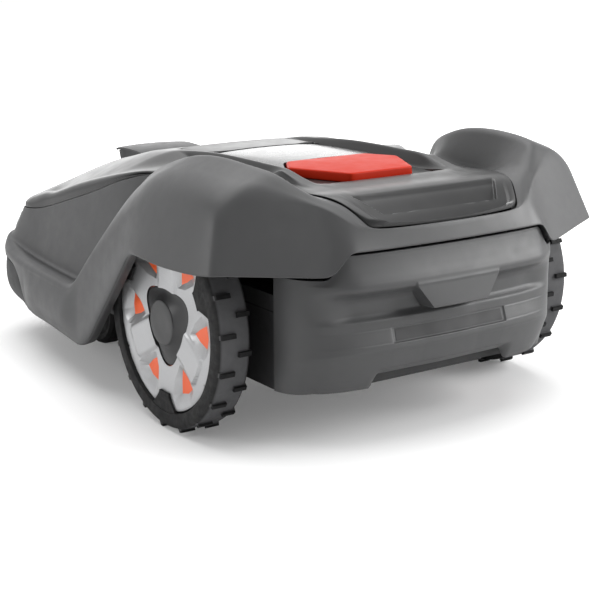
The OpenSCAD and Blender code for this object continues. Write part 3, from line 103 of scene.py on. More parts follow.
# Heights of the top cover along y: middle, ridge and shoulder
MIDDLE = np.array([
    [-346, 238], [-331, 250], [-300, 267.6], [-262, 270], [-236, 271], [-190, 266], [0, 264],
    [66, 267], [84, 270], [120, 264.5], [195, 245], [240, 230], [280, 211], [312, 191],
    [338, 174]], float)
RIDGE = np.array([
    [-346, 238], [-331, 250], [-300, 268], [-262, 270], [-232, 271], [-205, 275.5], [-176, 281],
    [-134, 281.5], [-91, 281.5], [-30, 280], [41, 274.5], [95, 269], [150, 256], [195, 245],
    [240, 230], [280, 211], [312, 191], [338, 174]], float)
SHOULDER = np.array([
    [-346, 239], [-331, 251], [-300, 268], [-262, 270], [-232, 270], [-205, 269.5], [-178, 267],
    [-143, 264], [-112, 263], [-76, 266], [-28, 266.5], [7, 262], [76, 247], [150, 228],
    [192, 215], [223, 206], [260, 199], [300, 187], [338, 174]], float)
# Rows of the cover: parameter along the seam and y of the row's middle
COVER_ROWS = np.array([
    [3, 334.5], [3.3, 325], [3.7, 308], [4.2, 284], [4.8, 260], [5.5, 232], [6.2, 202], [6.6, 176],
    [7, 148], [7.4, 124], [7.8, 102], [8.1, 84], [8.6, 66], [9.2, 48], [9.9, 28], [10.6, 8],
    [11.2, -12], [11.8, -32], [12.3, -52], [12.8, -72], [13.4, -94], [14, -112], [14.6, -132],
    [15.2, -152], [16, -190], [16.6, -214], [17.2, -236], [18, -254], [19, -274], [20, -292],
    [20.8, -306], [21.4, -314], [22, -322], [22.6, -330], [23.2, -336], [24, -341.8]], float)
# Opening over the controls: rows, half-width and columns on either side
HOLE_ROWS = (11, 26)
HOLE_X = 82.0
HOLE_STEPS = 14

# Rear panel: plan line of its right half, columns along it, profile [height, out] downwards
PANEL_LINE = np.array([
    [0, -350, 0], [60, -349, 0], [110, -345, 0], [145, -338, 0], [167, -326, 0], [180, -306, 0],
    [185, -281, 0], [186, -254, 0]], float)
PANEL_TURNS = np.array([
    0, 0.3, 0.6, 0.8, 0.93, 0.99, 1.15, 1.36, 1.42, 1.75, 2.1, 2.5, 2.9, 3.3, 3.7, 4.2, 4.7, 5.3,
    6])
PANEL_ROWS = np.array([
    [216.5, -1.2], [212, -0.4], [204, 2], [196, 5], [188, 8.9], [183, 10.2], [179, 8.8],
    [175, 2.5], [170, -5], [163, -9.4], [155, -10], [150, -10], [147, -8], [143.5, -4],
    [138, -3.4], [134.4, -3], [133.6, -2.9], [126, -0.5], [118.4, 2], [117.6, 2.1], [112, 3],
    [108, 1], [98, -2], [88, -5], [78, -9.5], [70, -13], [66, -15]], float)

# Sensor housing: y, half-width and height of each row
VISOR_ROWS = np.array([
    [246, 50, 241.5], [264, 50.5, 243], [285, 51, 243.5], [305, 52, 243], [320, 52.5, 242],
    [326, 52.5, 240]], float)

# Rear wheels: y and z of the axle, depths along x; turns in degrees are counted from straight down
AXLE = (-155.0, 122.5)
NOTCH_TURN = 1.2
THIRDS = (0, 120, 240)
ACCENT_TOP = 237.0
CAP_SEAT = 236.5
# Tyre profile: radius and depth
TYRE_PROFILE = np.array([
    [90, 206.5], [97, 205], [104, 204.5], [110, 205], [113.5, 206.2], [116, 207.6], [117.3, 208.9],
    [118, 210.2], [118.4, 212], [118.5, 215], [118.5, 223.9], [118.5, 224.2], [118.5, 227.0],
    [118.5, 227.3], [118.5, 237], [118.5, 241], [118.3, 242.8], [117.7, 244.3], [116.6, 245.8],
    [115, 246.9], [113, 247.5], [108, 247.3], [102.5, 247.3], [101.4, 246.8], [101, 245.5],
    [101, 235], [90, 235]], float)


def smooth(low, high, t):
    """Step from 0 to 1 between low and high: thrice the share's square less twice its cube."""
    s = np.clip((t - low) / (high - low), 0, 1)
    return s * s * (3 - 2 * s)


def hill(a, b, c, d, t):
    """Smooth step up between a and b, times a smooth step down between c and d."""
    return smooth(a, b, t) * (1 - smooth(c, d, t))


def xyz(x, y, z):
    """Points from coordinates that are spread over one another's shape."""
    return np.stack(np.broadcast_arrays(x, y, z), axis=-1)


def unit(v):
    """Vectors divided by their length."""
    return v / np.maximum(np.linalg.norm(v, axis=-1, keepdims=True), 1e-9)


def round_trip(line):
    """Closed line: the right half followed by its mirror image, ends taken once."""
    return np.vstack([line, line[-2:0:-1] * MIRROR])


def closed_spline(points, u):
    """Uniform cubic B-spline round a loop: four neighbours weighted by u's fraction."""
    u = np.asarray(u, float)
    i = np.floor(u).astype(int)
    t = (u - i)[..., None]
    s = 1 - t
    n = len(points)
    a, b, c, d = (points[(i + k) % n] for k in (-1, 0, 1, 2))
    return (a * s**3 + b * (3 * t**3 - 6 * t**2 + 4)
            + c * (3 * s**3 - 6 * s**2 + 4) + d * t**3) / 6


def through(knots, x):
    """Curve through knots: cubic Hermite pieces whose slopes join each knot's two neighbours."""
    kx, kv = knots[:, 0], knots[:, 1]
    before = np.maximum(np.arange(len(kx)) - 1, 0)
    after = np.minimum(np.arange(len(kx)) + 1, len(kx) - 1)
    slope = (kv[after] - kv[before]) / (kx[after] - kx[before])
    i = np.clip(np.searchsorted(kx, x, side="right") - 1, 0, len(kx) - 2)
    w = kx[i + 1] - kx[i]
    t = np.clip((x - kx[i]) / w, 0, 1)
    t2, t3 = t * t, t**3
    return (kv[i] * (2 * t3 - 3 * t2 + 1) + kv[i + 1] * (3 * t2 - 2 * t3)
            + slope[i] * w * (t3 - 2 * t2 + t) + slope[i + 1] * w * (t3 - t2))


def runs(start, *legs):
    """Even steps from the start through the end of each leg (end, number of steps)."""
    starts = [start] + [end for end, _ in legs]
    parts = [np.linspace(a, b, n + 1)[1:] for a, (b, n) in zip(starts, legs)]
    return np.concatenate([[start], *parts])


def finer(values, steps):
    """Values at whole numbers, joined by straight lines and read at a finer step."""
    numbers = np.arange(len(values))
    return np.interp(np.linspace(0, numbers[-1], numbers[-1] * steps + 1), numbers, values)


def corner(a, b, c, radius, steps, most=0.42):
    """Rounded corner at b: a curve between points set back from b, at most a share of the way."""
    short = np.minimum(np.linalg.norm(a - b, axis=1), np.linalg.norm(c - b, axis=1))
    back = np.minimum(radius, most * short)[:, None]
    return bend(b + unit(a - b) * back, b, b + unit(c - b) * back, steps)


def bend(p, b, q, steps):
    """Quadratic curve from p to q that leaves and arrives along the lines to b."""
    t = np.linspace(0, 1, steps + 1)[None, :, None]
    return p[:, None] * (1 - t)**2 + b[:, None] * 2 * t * (1 - t) + q[:, None] * t**2


def span(a, b, steps, bulge=0):
    """Points between a and b, closer at the ends, moved by a parabola that peaks at the bulge."""
    t = (0.5 - 0.5 * np.cos(np.pi * np.arange(1, steps + 1) / (steps + 1)))[None, :, None]
    return a[:, None] * (1 - t) + b[:, None] * t + bulge * (4 * t * (1 - t))


LOOPS = {"edge": EDGE, "crease": CREASE, "crest": CREST, "valley": VALLEY, "seam": SEAM}
LOOPS = {name: round_trip(line) for name, line in LOOPS.items()}
STATIONS = len(LOOPS["edge"])


def sideways(loop, u, step):
    """Direction across a loop in plan: its run over two steps, turned a quarter."""
    run = closed_spline(loop, u + step) - closed_spline(loop, u - step)
    return unit(xyz(-run[..., 1], run[..., 0], 0))


def outward(u):
    """Outward direction in plan, across the lower edge of the body."""
    return sideways(LOOPS["edge"], u, 0.25)


# Mesh building

def quads(rows, cols, wrap_rows=False, wrap_cols=False):
    """Corner numbers of every cell of a grid, optionally closed round either way."""
    i, j = np.meshgrid(np.arange(rows if wrap_rows else rows - 1),
                       np.arange(cols if wrap_cols else cols - 1), indexing="ij")
    i2, j2 = (i + 1) % rows, (j + 1) % cols
    cells = [i * cols + j, i * cols + j2, i2 * cols + j2, i2 * cols + j]
    return np.stack(cells, axis=-1).reshape(-1, 4)


def looped(grid):
    """Skin of a grid that closes round both ways."""
    return grid.reshape(-1, 3), quads(*grid.shape[:2], True, True)


def slab(top, bottom, keep=None):
    """Closed skin of two grids: top cells, bottom cells turned over, a wall at each open side."""
    rows, cols = top.shape[:2]
    keep = np.ones((rows - 1, cols - 1), bool) if keep is None else keep
    total = rows * cols
    cells = quads(rows, cols)[keep.ravel()]
    around = np.zeros((rows + 1, cols + 1), bool)
    around[1:-1, 1:-1] = keep
    i, j = np.meshgrid(np.arange(rows - 1), np.arange(cols - 1), indexing="ij")
    walls = []
    for di, dj, first, second in ((-1, 0, (0, 0), (0, 1)), (1, 0, (1, 1), (1, 0)),
                                  (0, -1, (1, 0), (0, 0)), (0, 1, (0, 1), (1, 1))):
        open_side = keep & ~around[1 + di:rows + di, 1 + dj:cols + dj]
        a = ((i + first[0]) * cols + j + first[1])[open_side]
        b = ((i + second[0]) * cols + j + second[1])[open_side]
        walls.append(np.stack([b, a, a + total, b + total], axis=-1))
    faces = np.vstack([cells, cells[:, ::-1] + total] + walls)
    return np.vstack([top.reshape(-1, 3), bottom.reshape(-1, 3)]), faces


def capped(rings):
    """Closed skin from stacked rings, each end a fan of thin cells to the ring's mean point."""
    rows, cols = rings.shape[:2]
    ends = [np.repeat(rings[k].mean(axis=0)[None], cols, axis=0) for k in (0, -1)]
    full = np.concatenate([ends[0][None], rings, ends[1][None]])
    return full.reshape(-1, 3), quads(rows + 2, cols, wrap_cols=True)


def joined(skins):
    """One skin from several: points stacked, corner numbers moved on by the points before."""
    starts = np.cumsum([0] + [len(points) for points, _ in skins[:-1]])
    return (np.vstack([points for points, _ in skins]),
            np.vstack([faces + start for (_, faces), start in zip(skins, starts)]))


def add_piece(name, skin, body, nodes, slot, sharp=35.0, finish=None):
    """Mesh object from points in millimetres and faces of four, turned so its volume is positive.

    Points that coincide are merged, unused ones dropped and edges sharper than an angle marked.
    """
    points, faces = skin
    rounded = np.round(points, 4)
    _, first, index = np.unique(rounded, axis=0, return_index=True, return_inverse=True)
    used, faces = np.unique(index.reshape(-1)[faces], return_inverse=True)
    faces = faces.reshape(-1, 4)
    points = points[first][used]
    a, b, c, d = (points[faces[:, k]] for k in range(4))
    volume = sum(np.einsum("ij,ij->i", a, np.cross(*pair)) for pair in ((b, c), (c, d))).sum()
    if volume < 0:
        faces = faces[:, ::-1]
    same = faces == np.roll(faces, 1, axis=1)
    whole = faces[~same.any(axis=1)]
    three = faces[same.sum(axis=1) == 1]
    three = three[~(three == np.roll(three, 1, axis=1))].reshape(-1, 3)
    loops = np.concatenate([whole.ravel(), three.ravel()])
    sizes = np.concatenate([np.full(len(whole), 4), np.full(len(three), 3)])
    mesh = bpy.data.meshes.new(name)
    mesh.vertices.add(len(points))
    mesh.vertices.foreach_set("co", (points * MM).ravel())
    mesh.loops.add(len(loops))
    mesh.loops.foreach_set("vertex_index", loops)
    mesh.polygons.add(len(sizes))
    mesh.polygons.foreach_set("loop_start", np.concatenate([[0], np.cumsum(sizes)[:-1]]))
    mesh.update(calc_edges=True)
    mesh.polygons.foreach_set("use_smooth", np.ones(len(sizes), bool))
    mesh.set_sharp_from_angle(angle=math.radians(sharp))
    mesh.validate()
    mesh.materials.append(FINISHES[finish or slot])
    piece = bpy.data.objects.new(name, mesh)
    bpy.context.scene.collection.objects.link(piece)
    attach(piece, body)
    if nodes:
        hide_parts(*nodes)


# Finishes

FINISHES = {}
SHADER_KEYS = {"metal": "Metallic", "specular": "Specular IOR Level", "coat": "Coat Weight",
               "coat_rough": "Coat Roughness"}


def add_node(tree, kind, inputs=(), **settings):
    """Outputs of a new shader node; an input that is a socket is linked, any other is set."""
    made = tree.nodes.new("ShaderNode" + kind)
    for key, value in settings.items():
        setattr(made, key, value)
    for key, value in dict(inputs).items():
        if isinstance(value, bpy.types.NodeSocket):
            tree.links.new(value, made.inputs[key])
        else:
            made.inputs[key].default_value = value
    return made.outputs


def noise(place, scale, detail=3.0, rough=0.55):
    """Cloud-like pattern on the given coordinates, scale in turns per metre."""
    return add_node(place.id_data, "TexNoise", {"Vector": place, "Scale": scale, "Detail": detail,
                                                "Roughness": rough})["Fac"]


def remap(value, low, high, start=0.3, end=0.7):
    """A value between start and end becomes one between low and high."""
    return add_node(value.id_data, "MapRange", {"Value": value, "From Min": start, "From Max": end,
                                                "To Min": low, "To Max": high})["Result"]


def tint(value, first, second):
    """Colour that runs from first to second with the value; first may be another node's colour."""
    first = first if isinstance(first, bpy.types.NodeSocket) else (*first, 1)
    return add_node(value.id_data, "Mix", {"A": first, "B": (*second, 1), "Factor": value},
                    data_type="RGBA")["Result"]


def times(first, second):
    """Product of two values."""
    return add_node(first.id_data, "Math", {0: first, 1: second}, operation="MULTIPLY")[0]


def distance(vector):
    """Length of a vector."""
    return add_node(vector.id_data, "VectorMath", {0: vector}, operation="LENGTH")["Value"]


def openness(place, reach):
    """Share of its surroundings that a spot sees free within reach, in metres."""
    return add_node(place.id_data, "AmbientOcclusion", {"Distance": reach})["AO"]


def from_axle(place):
    """Distance from the line of the rear axle, in metres."""
    back = (0, -AXLE[0] * MM, -AXLE[1] * MM)
    return distance(add_node(place.id_data, "VectorMath", {0: place, 1: (0, 1, 1), 2: back},
                             operation="MULTIPLY_ADD")["Vector"])


def shade(colour, factor):
    """Colour times a factor."""
    return tuple(min(1.0, c * factor) for c in colour)


def start_finish(name, colour, rough, **fixed):
    """New material with its shader's fixed values; returns the shader and Object coordinates."""
    FINISHES[name] = bpy.data.materials.new(name)
    FINISHES[name].use_nodes = True
    tree = FINISHES[name].node_tree
    shader = tree.nodes["Principled BSDF"]
    shader.inputs["Base Color"].default_value = (*colour, 1)
    shader.inputs["Roughness"].default_value = rough
    for key, value in fixed.items():
        shader.inputs[SHADER_KEYS[key]].default_value = value
    return shader, add_node(tree, "TexCoord")["Object"]


def dress(shader, base, rough, height, depth):
    """Links a shader's colour, its roughness if given, and a bump of the given depth in metres."""
    tree = shader.id_data
    bump = add_node(tree, "Bump", {"Strength": 1.0, "Distance": depth, "Height": height})["Normal"]
    for key, socket in (("Base Color", base), ("Roughness", rough), ("Normal", bump)):
        if socket is not None:
            tree.links.new(socket, shader.inputs[key])


def moulded(name, colour, rough, grain=2600.0, depth=0.00003, spread=0.06, painted_shade_reach=0.0, **fixed):
    """Moulded plastic: a fine grain, slow changes of shade and of gloss, painted shade in hollows.

    The pockets high on the body, above the given heights, get a deeper painted shade.
    """
    pocket_start, pocket_full = 0.2, 0.235
    shader, place = start_finish(name, colour, rough, **fixed)
    slow = noise(place, 9.0, 4.0)
    base = tint(slow, shade(colour, 1 - spread), shade(colour, 1 + spread))
    # Painted shade: darker where nearby surfaces close in round a spot, darker still in the
    # pockets high on the body
    if painted_shade_reach:
        free = openness(place, painted_shade_reach)
        base = tint(remap(free, 1.0, 0.0, 0.25, 0.7), base, shade(colour, 0.15))
        height = add_node(place.id_data, "SeparateXYZ", {0: place})["Z"]
        pocket_painted_shade = times(remap(free, 1.0, 0.0, 0.5, 0.92),
                       remap(height, 0.0, 1.0, pocket_start, pocket_full))
        base = tint(pocket_painted_shade, base, shade(colour, 0.12))
    gloss = remap(noise(place, 60.0, 2.0), 0.92 * rough, 1.08 * rough)
    dress(shader, base, gloss, noise(place, grain, 2.0), depth)


def rubber(name, colour, tread=0.0):
    """Tyre rubber: matt, pebbled, dust on the higher spots, painted light as a paler tread band,
    painted shade on the lugs.
    """
    shader, place = start_finish(name, colour, 0.72, specular=0.25)
    dust = remap(noise(place, 75.0, 6.0, 0.65), 0.0, 0.5, 0.45, 0.75)
    base = tint(dust, colour, (0.05, 0.048, 0.046))
    # Painted light and shade by radius: the tread band paler, the lugs standing out from it darker
    if tread:
        reach = from_axle(place)
        for factor, low, high in ((tread, 0.1174, 0.1184), (0.4, 0.1188, 0.1204)):
            base = tint(remap(reach, 0.0, 1.0, low, high), base, shade(colour, factor))
    gloss = remap(noise(place, 140.0), 0.6, 0.85)
    dress(shader, base, gloss, noise(place, 1700.0, 3.0), 0.00008)


def silver_paint(name, colour):
    """Metallic paint: bright flakes under a smooth top coat, painted shade in the reveals."""
    shader, place = start_finish(name, colour, 0.34, metal=0.55, coat=0.25, coat_rough=0.1)
    flakes = add_node(place.id_data, "TexVoronoi", {"Vector": place, "Scale": 3800.0})
    spark = remap(flakes["Distance"], 0.0, 1.0, 0.1, 0.8)
    base = tint(spark, shade(colour, 1.12), shade(colour, 0.86))
    # Painted shade: darker where nearby surfaces close in, inside the window reveals
    reveal_painted_shade = remap(openness(place, 0.02), 1.0, 0.0, 0.45, 0.97)
    base = tint(reveal_painted_shade, base, shade(colour, 0.12))
    gloss = remap(noise(place, 45.0, 5.0), 0.28, 0.42)
    dress(shader, base, gloss, noise(place, 320.0, 2.0), 0.00002)


def turned_steel(name, colour, rough):
    """Worked metal: fine scratches across a slow stain, gloss broken by both."""
    shader, place = start_finish(name, colour, rough, metal=1.0)
    stretch = {"Vector": place, "Scale": (40.0, 900.0, 900.0)}
    lines = noise(add_node(place.id_data, "Mapping", stretch)["Vector"], 1.0, 4.0)
    stain = noise(place, 20.0, 5.0)
    base = tint(stain, shade(colour, 0.82), shade(colour, 1.08))
    dress(shader, base, remap(lines, rough - 0.1, rough + 0.15), lines, 0.00002)


def clear_lens(name, colour):
    """Clear moulded lens over a ribbed bright backing, drawn as bands across x."""
    shader, place = start_finish(name, colour, 0.08, coat=1.0, coat_rough=0.03)
    wave = {"Vector": place, "Scale": 60.0, "Distortion": 0.4}
    bands = add_node(place.id_data, "TexWave", wave)["Fac"]
    dress(shader, tint(bands, shade(colour, 0.55), colour), None, bands, 0.0003)


# Shapes

def shell_rings(per_station):
    """Body shell: at each u a rounded section through the five lines, then its inner side."""
    u = np.arange(STATIONS * per_station) / per_station
    e, k, c, v, s = (closed_spline(loop, u) for loop in LOOPS.values())
    n = outward(u)
    wall, flange, drop = 3.0, 16, 9
    lip = e - flange * n + wall * UP
    foot = s - 0.6 * n - drop * UP
    ledge = s - n * (30 + 16 * smooth(150, 190, np.abs(s[:, :1]))) - drop * UP
    turn_s = corner(foot, s, v, 1.8, 4)
    turn_v = corner(s, v, c, 14 + 16 * smooth(40, 90, v[:, 1]), 10)
    turn_c = corner(v, c, k, 10, 12)
    turn_k = corner(c, k, e, 34, 12)
    side = np.minimum(u, STATIONS - u)
    arch = hill(10.0, 11.2, 14.2, 15.4, side)[:, None]
    turn_e = bend(e + unit(k - e) * (3 + 19 * arch), e, e + unit(lip - e) * (3 + 6 * arch), 8)
    belly = 6 * hill(5.6, 6.6, 8.6, 10.2, side)[:, None, None] * n[:, None]
    outside = [ledge[:, None], span(ledge, foot, 2), foot[:, None], turn_s]
    for turn, steps, bulge in ((turn_v, 6, 0), (turn_c, 6, 0), (turn_k, 5, 0), (turn_e, 8, belly)):
        outside += [span(outside[-1][:, -1], turn[:, 0], steps, bulge), turn]
    # Points of the inner side: walls inward and down from a line
    inner = ((e, 1.3, -1), (turn_k[:, 6], 1, 0.7), (turn_c[:, 6], 0.8, 1.1), (v, 0.9, 1.1),
             (foot, 1, 1), (ledge, 0, 1))
    inside = [lip, lip + wall * UP] + [p - i * wall * n - d * wall * UP for p, i, d in inner]
    return np.concatenate([*outside, np.stack(inside, axis=1)], axis=1)


def cover_height(x, y):
    """Height of the top cover: middle line raised to the ridge, less its wall and the grip."""
    a = np.abs(x)
    middle = through(MIDDLE, y)
    lift = (through(RIDGE, y) - middle) * smooth(86, 97, a)
    wall = 11 * smooth(99, 107, a) * hill(-185, -150, 5, 55, y)
    half = 78 + (np.clip(y, -327, -300) + 327) * (20 / 27)
    grip = hill(-328.5, -326, -303, -298, y) * (1 - smooth(half - 1.5, half + 1.5, a))
    return middle + lift - wall - grip * (3.5 + 3.0 * smooth(-300, -326, y))


def cover_grid(fine):
    """Top cover: rows from seam to seam, bowed by a power of x that grows forward, edge rolled."""
    last, roll, gap = 107.0, 14.0, 1.6
    index = np.linspace(0, len(COVER_ROWS) - 1, (len(COVER_ROWS) - 1) * fine + 1)
    numbers = np.arange(len(COVER_ROWS), dtype=float)
    u, y = (through(np.stack([numbers, column], axis=1), index) for column in COVER_ROWS.T)
    s = closed_spline(LOOPS["seam"], u) - gap * outward(u)
    sx, sy, sz = (s[:, k:k + 1] for k in range(3))
    y = y[:, None]
    xr = sx - roll
    f = np.minimum(1, (xr - 3) / last)
    inner = runs(0, (HOLE_X, HOLE_STEPS), (last, 29))
    share = np.linspace(0, 1, 26)[1:]
    x = np.concatenate([inner * f, last * f + (xr - last * f) * share], axis=1)
    shoulder = np.maximum(through(SHOULDER, sy), sz + 1)
    bow = lambda x: y + (sy - y) * (x / sx)**(2 + 2 * smooth(240, 320, y))
    t = np.clip((x - last) / np.maximum(xr - last, 1), 0, 1)**1.6
    z = cover_height(x, bow(x)) * (1 - t) + shoulder * t
    turn = np.radians(np.linspace(0, 90, 13)[1:])
    box = 0.62 + 0.38 * smooth(250, 310, y)
    hood = smooth(-60, 0, y)
    lift = 1.6 + 1.6 * hood
    under = (3.6 + 1.4 * hood) * (1 - smooth(22.4, 23.4, u))[:, None]
    x = np.concatenate([x, xr + roll * np.sin(turn)**box, sx - under, sx - under - 0.2], axis=1)
    z = np.concatenate([z, shoulder + (sz + lift - shoulder) * (1 - np.cos(turn)**box),
                        sz + lift - 0.6, sz - 4.0], axis=1)
    right = xyz(x, bow(x), z)
    return np.concatenate([right[:, :0:-1] * MIRROR, right], axis=1)


def cover_skin(fine=6):
    """Top cover: its grid and a copy further down, less the cells over the controls."""
    wall, end_wall = 3.0, 4.4
    rear_z, rear_rise, rear_half = 239.6, 1.8, 93
    top = cover_grid(fine)
    rows, cols = top.shape[:2]
    drop = np.full(cols, wall)
    drop[[0, -1]] = end_wall
    bottom = top - drop[None, :, None] * UP
    # The wall of the rear edge ends evenly above the seam
    seam = rear_z + rear_rise * np.abs(top[-1, :, 0] / rear_half)**3
    bottom[-1, :, 2] = np.minimum(bottom[-1, :, 2], seam)
    keep = np.ones((rows - 1, cols - 1), bool)
    middle = (cols - 1) // 2
    first, last = (row * fine for row in HOLE_ROWS)
    keep[first:last, middle - HOLE_STEPS:middle + HOLE_STEPS] = False
    return slab(top, bottom, keep)


def panel_grid(inside, along=5, down=5):
    """Rear panel: the profile carried along the plan line, columns slanted beside the tongue."""
    turns = finer(PANEL_TURNS, along)
    loop = np.vstack([PANEL_LINE[:0:-1] * MIRROR, PANEL_LINE])
    u = len(PANEL_LINE) - 1 + np.concatenate([-turns[:0:-1], turns])
    p = closed_spline(loop, u)
    n = -sideways(loop, u, 0.1)
    z = finer(PANEL_ROWS[:, 0], down)[None]
    out = PANEL_ROWS[:, 1]
    if inside:
        out = np.minimum(out, np.minimum(np.append(out[1:], out[-1]), np.append(out[0], out[:-1])))
    blur = [0.1, 0.25, 0.3, 0.25, 0.1]
    out = np.convolve(np.pad(finer(out, down), 2, mode="edge"), blur, mode="valid")[None]
    x = p[:, :1]
    a = np.abs(x)
    rise = np.clip((z - 152) / 26, 0, 1)
    slant = (36 + 20 * rise) / 56
    if not inside:
        tongue = (1 - smooth(55.2, 57.8, a)) * hill(150, 153.5, 180, 184, z)
        out = out * (1 - tongue) + (16.4 - 5.2 * rise) * tongue
        out = out - 1.4 * (1 - smooth(77.4, 80.2, a)) * hill(117.6, 118.4, 133.6, 134.4, z)
    slanted, even = 58, 76
    between = slanted * slant + (even - slanted * slant) * (a - slanted) / (even - slanted)
    beside = np.where(a < slanted, a * slant, np.where(a < even, between, a))
    brow, sill = 186, 90
    top = 216.5 + (192 - 216.5) * smooth(129, 156, a)
    foot = 82 + (67 - 82) * smooth(88, 100, a)
    height = np.where(z < sill, sill + (foot - sill) * (sill - z) / 24, z)
    height = np.where(z > brow, brow + (top - brow) * (z - brow) / 30.5, height)
    upper = smooth(100, 116, z)
    fade = 1 - smooth(165 - 45 * upper, 187 - 13 * upper, a)
    reach = out * fade - (4.0 if inside else 0.0)
    return xyz(np.sign(x) * beside, p[:, 1:2], height) + n[:, None] * reach[..., None]


def plate_grid(lift):
    """Bare plate of the rear panel: the panel's points in its recess, moved out by the lift."""
    grid = panel_grid(False)
    across = np.flatnonzero(np.abs(grid[:, 0, 0]) < 77)
    down = np.flatnonzero(np.abs(grid[0, :, 2] - 126) < 7.4)
    return grid[across[0]:across[-1] + 1, down[0]:down[-1] + 1] - [0, lift, 0]


def bumper_grid(inset, count=120):
    """Front bumper: from the skirt's edge to its foot, bellied by a parabola, tucked in below.

    The inner side reaches up to the edge, so that the gap over the bumper has a floor.
    """
    foot, gap = 55.0, 2.4
    u = np.linspace(5.9, -5.9, count)
    n = outward(u)
    e = closed_spline(LOOPS["edge"], u)
    top = e - (1.6 + inset) * n - (gap - 0.55 * inset) * UP
    low = xyz(e[:, 0] * 0.985, e[:, 1] - 5, foot) - inset * n
    size = (np.maximum(top[:, 2] - foot, 1) / 50)[:, None, None]
    t = np.linspace(0, 1, 24)[None, :, None]
    line = top[:, None] * (1 - t) + low[:, None] * t
    return line + n[:, None] * ((12 * t * (1 - t) - 7 * t**6) * size)


def visor_grid(inset, drop):
    """Roof of the sensor housing: half-width and height by row along y, crowned, drawn in."""
    rear, front = VISOR_ROWS[[0, -1], 0]
    bend_y = 312
    y = runs(rear, (bend_y, 33), (front, 13))[:, None]
    half = through(VISOR_ROWS[:, [0, 1]], y) - inset
    t, crown, edge = ACROSS, 0.8, 0.3
    bow = 8 * smooth(296, 322, y) * t**2
    z = through(VISOR_ROWS[:, [0, 2]], y) - drop - edge * np.abs(t)**10 - crown * t**2
    return xyz(half * t, y - bow - inset * smooth(rear, front, y), z)


def visor_body():
    """Sensor housing: its roof drawn in, then carried down and back into the cover."""
    back_y, slope, embed = 296, 0.4, 1.2
    top = visor_grid(3.0, 2.4)
    x = top[..., 0] * 0.97
    y = np.minimum(top[..., 1], back_y + (top[..., 1] - back_y) * slope)
    z = np.minimum(cover_height(x, y) - embed, top[..., 2] - 0.5)
    return slab(top, xyz(x, y, z))


def tongue_grid(drop):
    """Hood between hatch and cover: falls along y from the hatch to the cover, crowned across."""
    y = np.linspace(17.6, 88, 46)[:, None]
    s = ACROSS
    x = (85 - 2 * smooth(70, 88, y)) * s
    t = smooth(10, 92, y)
    near = 273.9 - 2.4 * s**2
    far = 271.4 - 1.2 * s**2
    z = near * (1 - t) + far * t - 1.2 * np.abs(s)**12 - drop
    return xyz(x, y, z)


def hatch_grid(drop):
    """Hatch: crowned plate, its rear edge round the front of the button, its neck narrower."""
    half, neck, notch = 84, 70, 54
    front, rear_edge, horn = 13, -112, 36
    x = runs(-half, (-notch, 23), (notch, 29), (half, 23))[None]
    t = runs(1, (0.86, 11), (0.79, 13), (0, 59))[:, None]
    width = half + (neck - half) * smooth(0.795, 0.84, t)
    s = x * width / half**2
    rear = rear_edge - horn * smooth(notch, half, np.abs(x))
    y = rear + (front - rear) * t
    z = 276.6 - 2.6 * s**2 - 3.0 * t**2 - 1.5 * np.abs(s)**10 - drop
    return xyz(s * half, y, z)


def button_outline(z, inset):
    """Outline of the stop button: a closed spline round six corners, each between two guides."""
    right = np.array([[44, -225], [79, -152], [57, -115]], float)
    corners = np.vstack([right, right[::-1] * [-1, 1]])
    before, after = np.roll(corners, 1, axis=0), np.roll(corners, -1, axis=0)
    centre, flank, count = [0, -165.0], 9, 216
    q = corners + unit(corners - centre) * inset
    guide = [q + unit(before - corners) * flank, q, q + unit(after - corners) * flank]
    guide = np.stack(guide, axis=1).reshape(-1, 2)
    u = np.arange(count) * len(guide) / count
    return closed_spline(np.hstack([guide, np.zeros((len(guide), 1))]), u) + [0, 0, z]


def button_rings():
    """Stop button: its outline drawn in step by step over a rounded shoulder, domed on top."""
    low, tall, draft = 266.7, 8.6, -0.6
    side = [button_outline(low + h, i) for h, i in
            ((0, -0.6), (0.6, -0.2), (1.5, 0), (tall, draft))]
    shoulder = [button_outline(low + tall + 2.0 * math.sin(a), draft - 2.6 * (1 - math.cos(a)))
                for a in np.radians(np.linspace(0, 90, 8))[1:]]
    edge = shoulder[-1]
    centre = edge.mean(axis=0)
    crown = [centre + (edge - centre) * k + [0, 0, 1.8 * (1 - k**2)]
             for k in np.linspace(0.95, 0.05, 12)]
    return np.array(side + shoulder + crown)


def apron_grid(z):
    """Apron round the stop button: rays from its outline out to a rectangle under the opening."""
    centre, half = [0, -174.0], 81.5
    inner = button_outline(z, 1.2)
    way = inner[:, :2] - centre
    side = np.where(way[:, 1] < 0, 64.0, 60.0)
    size = np.maximum(np.abs(way), 1e-6)
    reach = np.maximum(np.minimum(half / size[:, 0], side / size[:, 1]), 1.004)
    outer = np.column_stack([way * reach[:, None] + centre, np.full(len(way), z)])
    rings = np.stack([inner, inner * 0.5 + outer * 0.5, outer])
    return np.concatenate([rings, rings[:, :1]], axis=1)


def on_axle(radius, turn, depth):
    """Points of the right wheel: depth along x, turn in degrees from down towards the front."""
    a = np.radians(turn)
    return xyz(depth, AXLE[0] + radius * np.sin(a), AXLE[1] - radius * np.cos(a))


def cap_radius(turn):
    """Outline of the hub cap: a circle whose radius has waves of three and of six."""
    a = np.radians(turn)
    return 41.5 + 6.5 * np.cos(3 * a) + 1.5 * np.cos(6 * a)


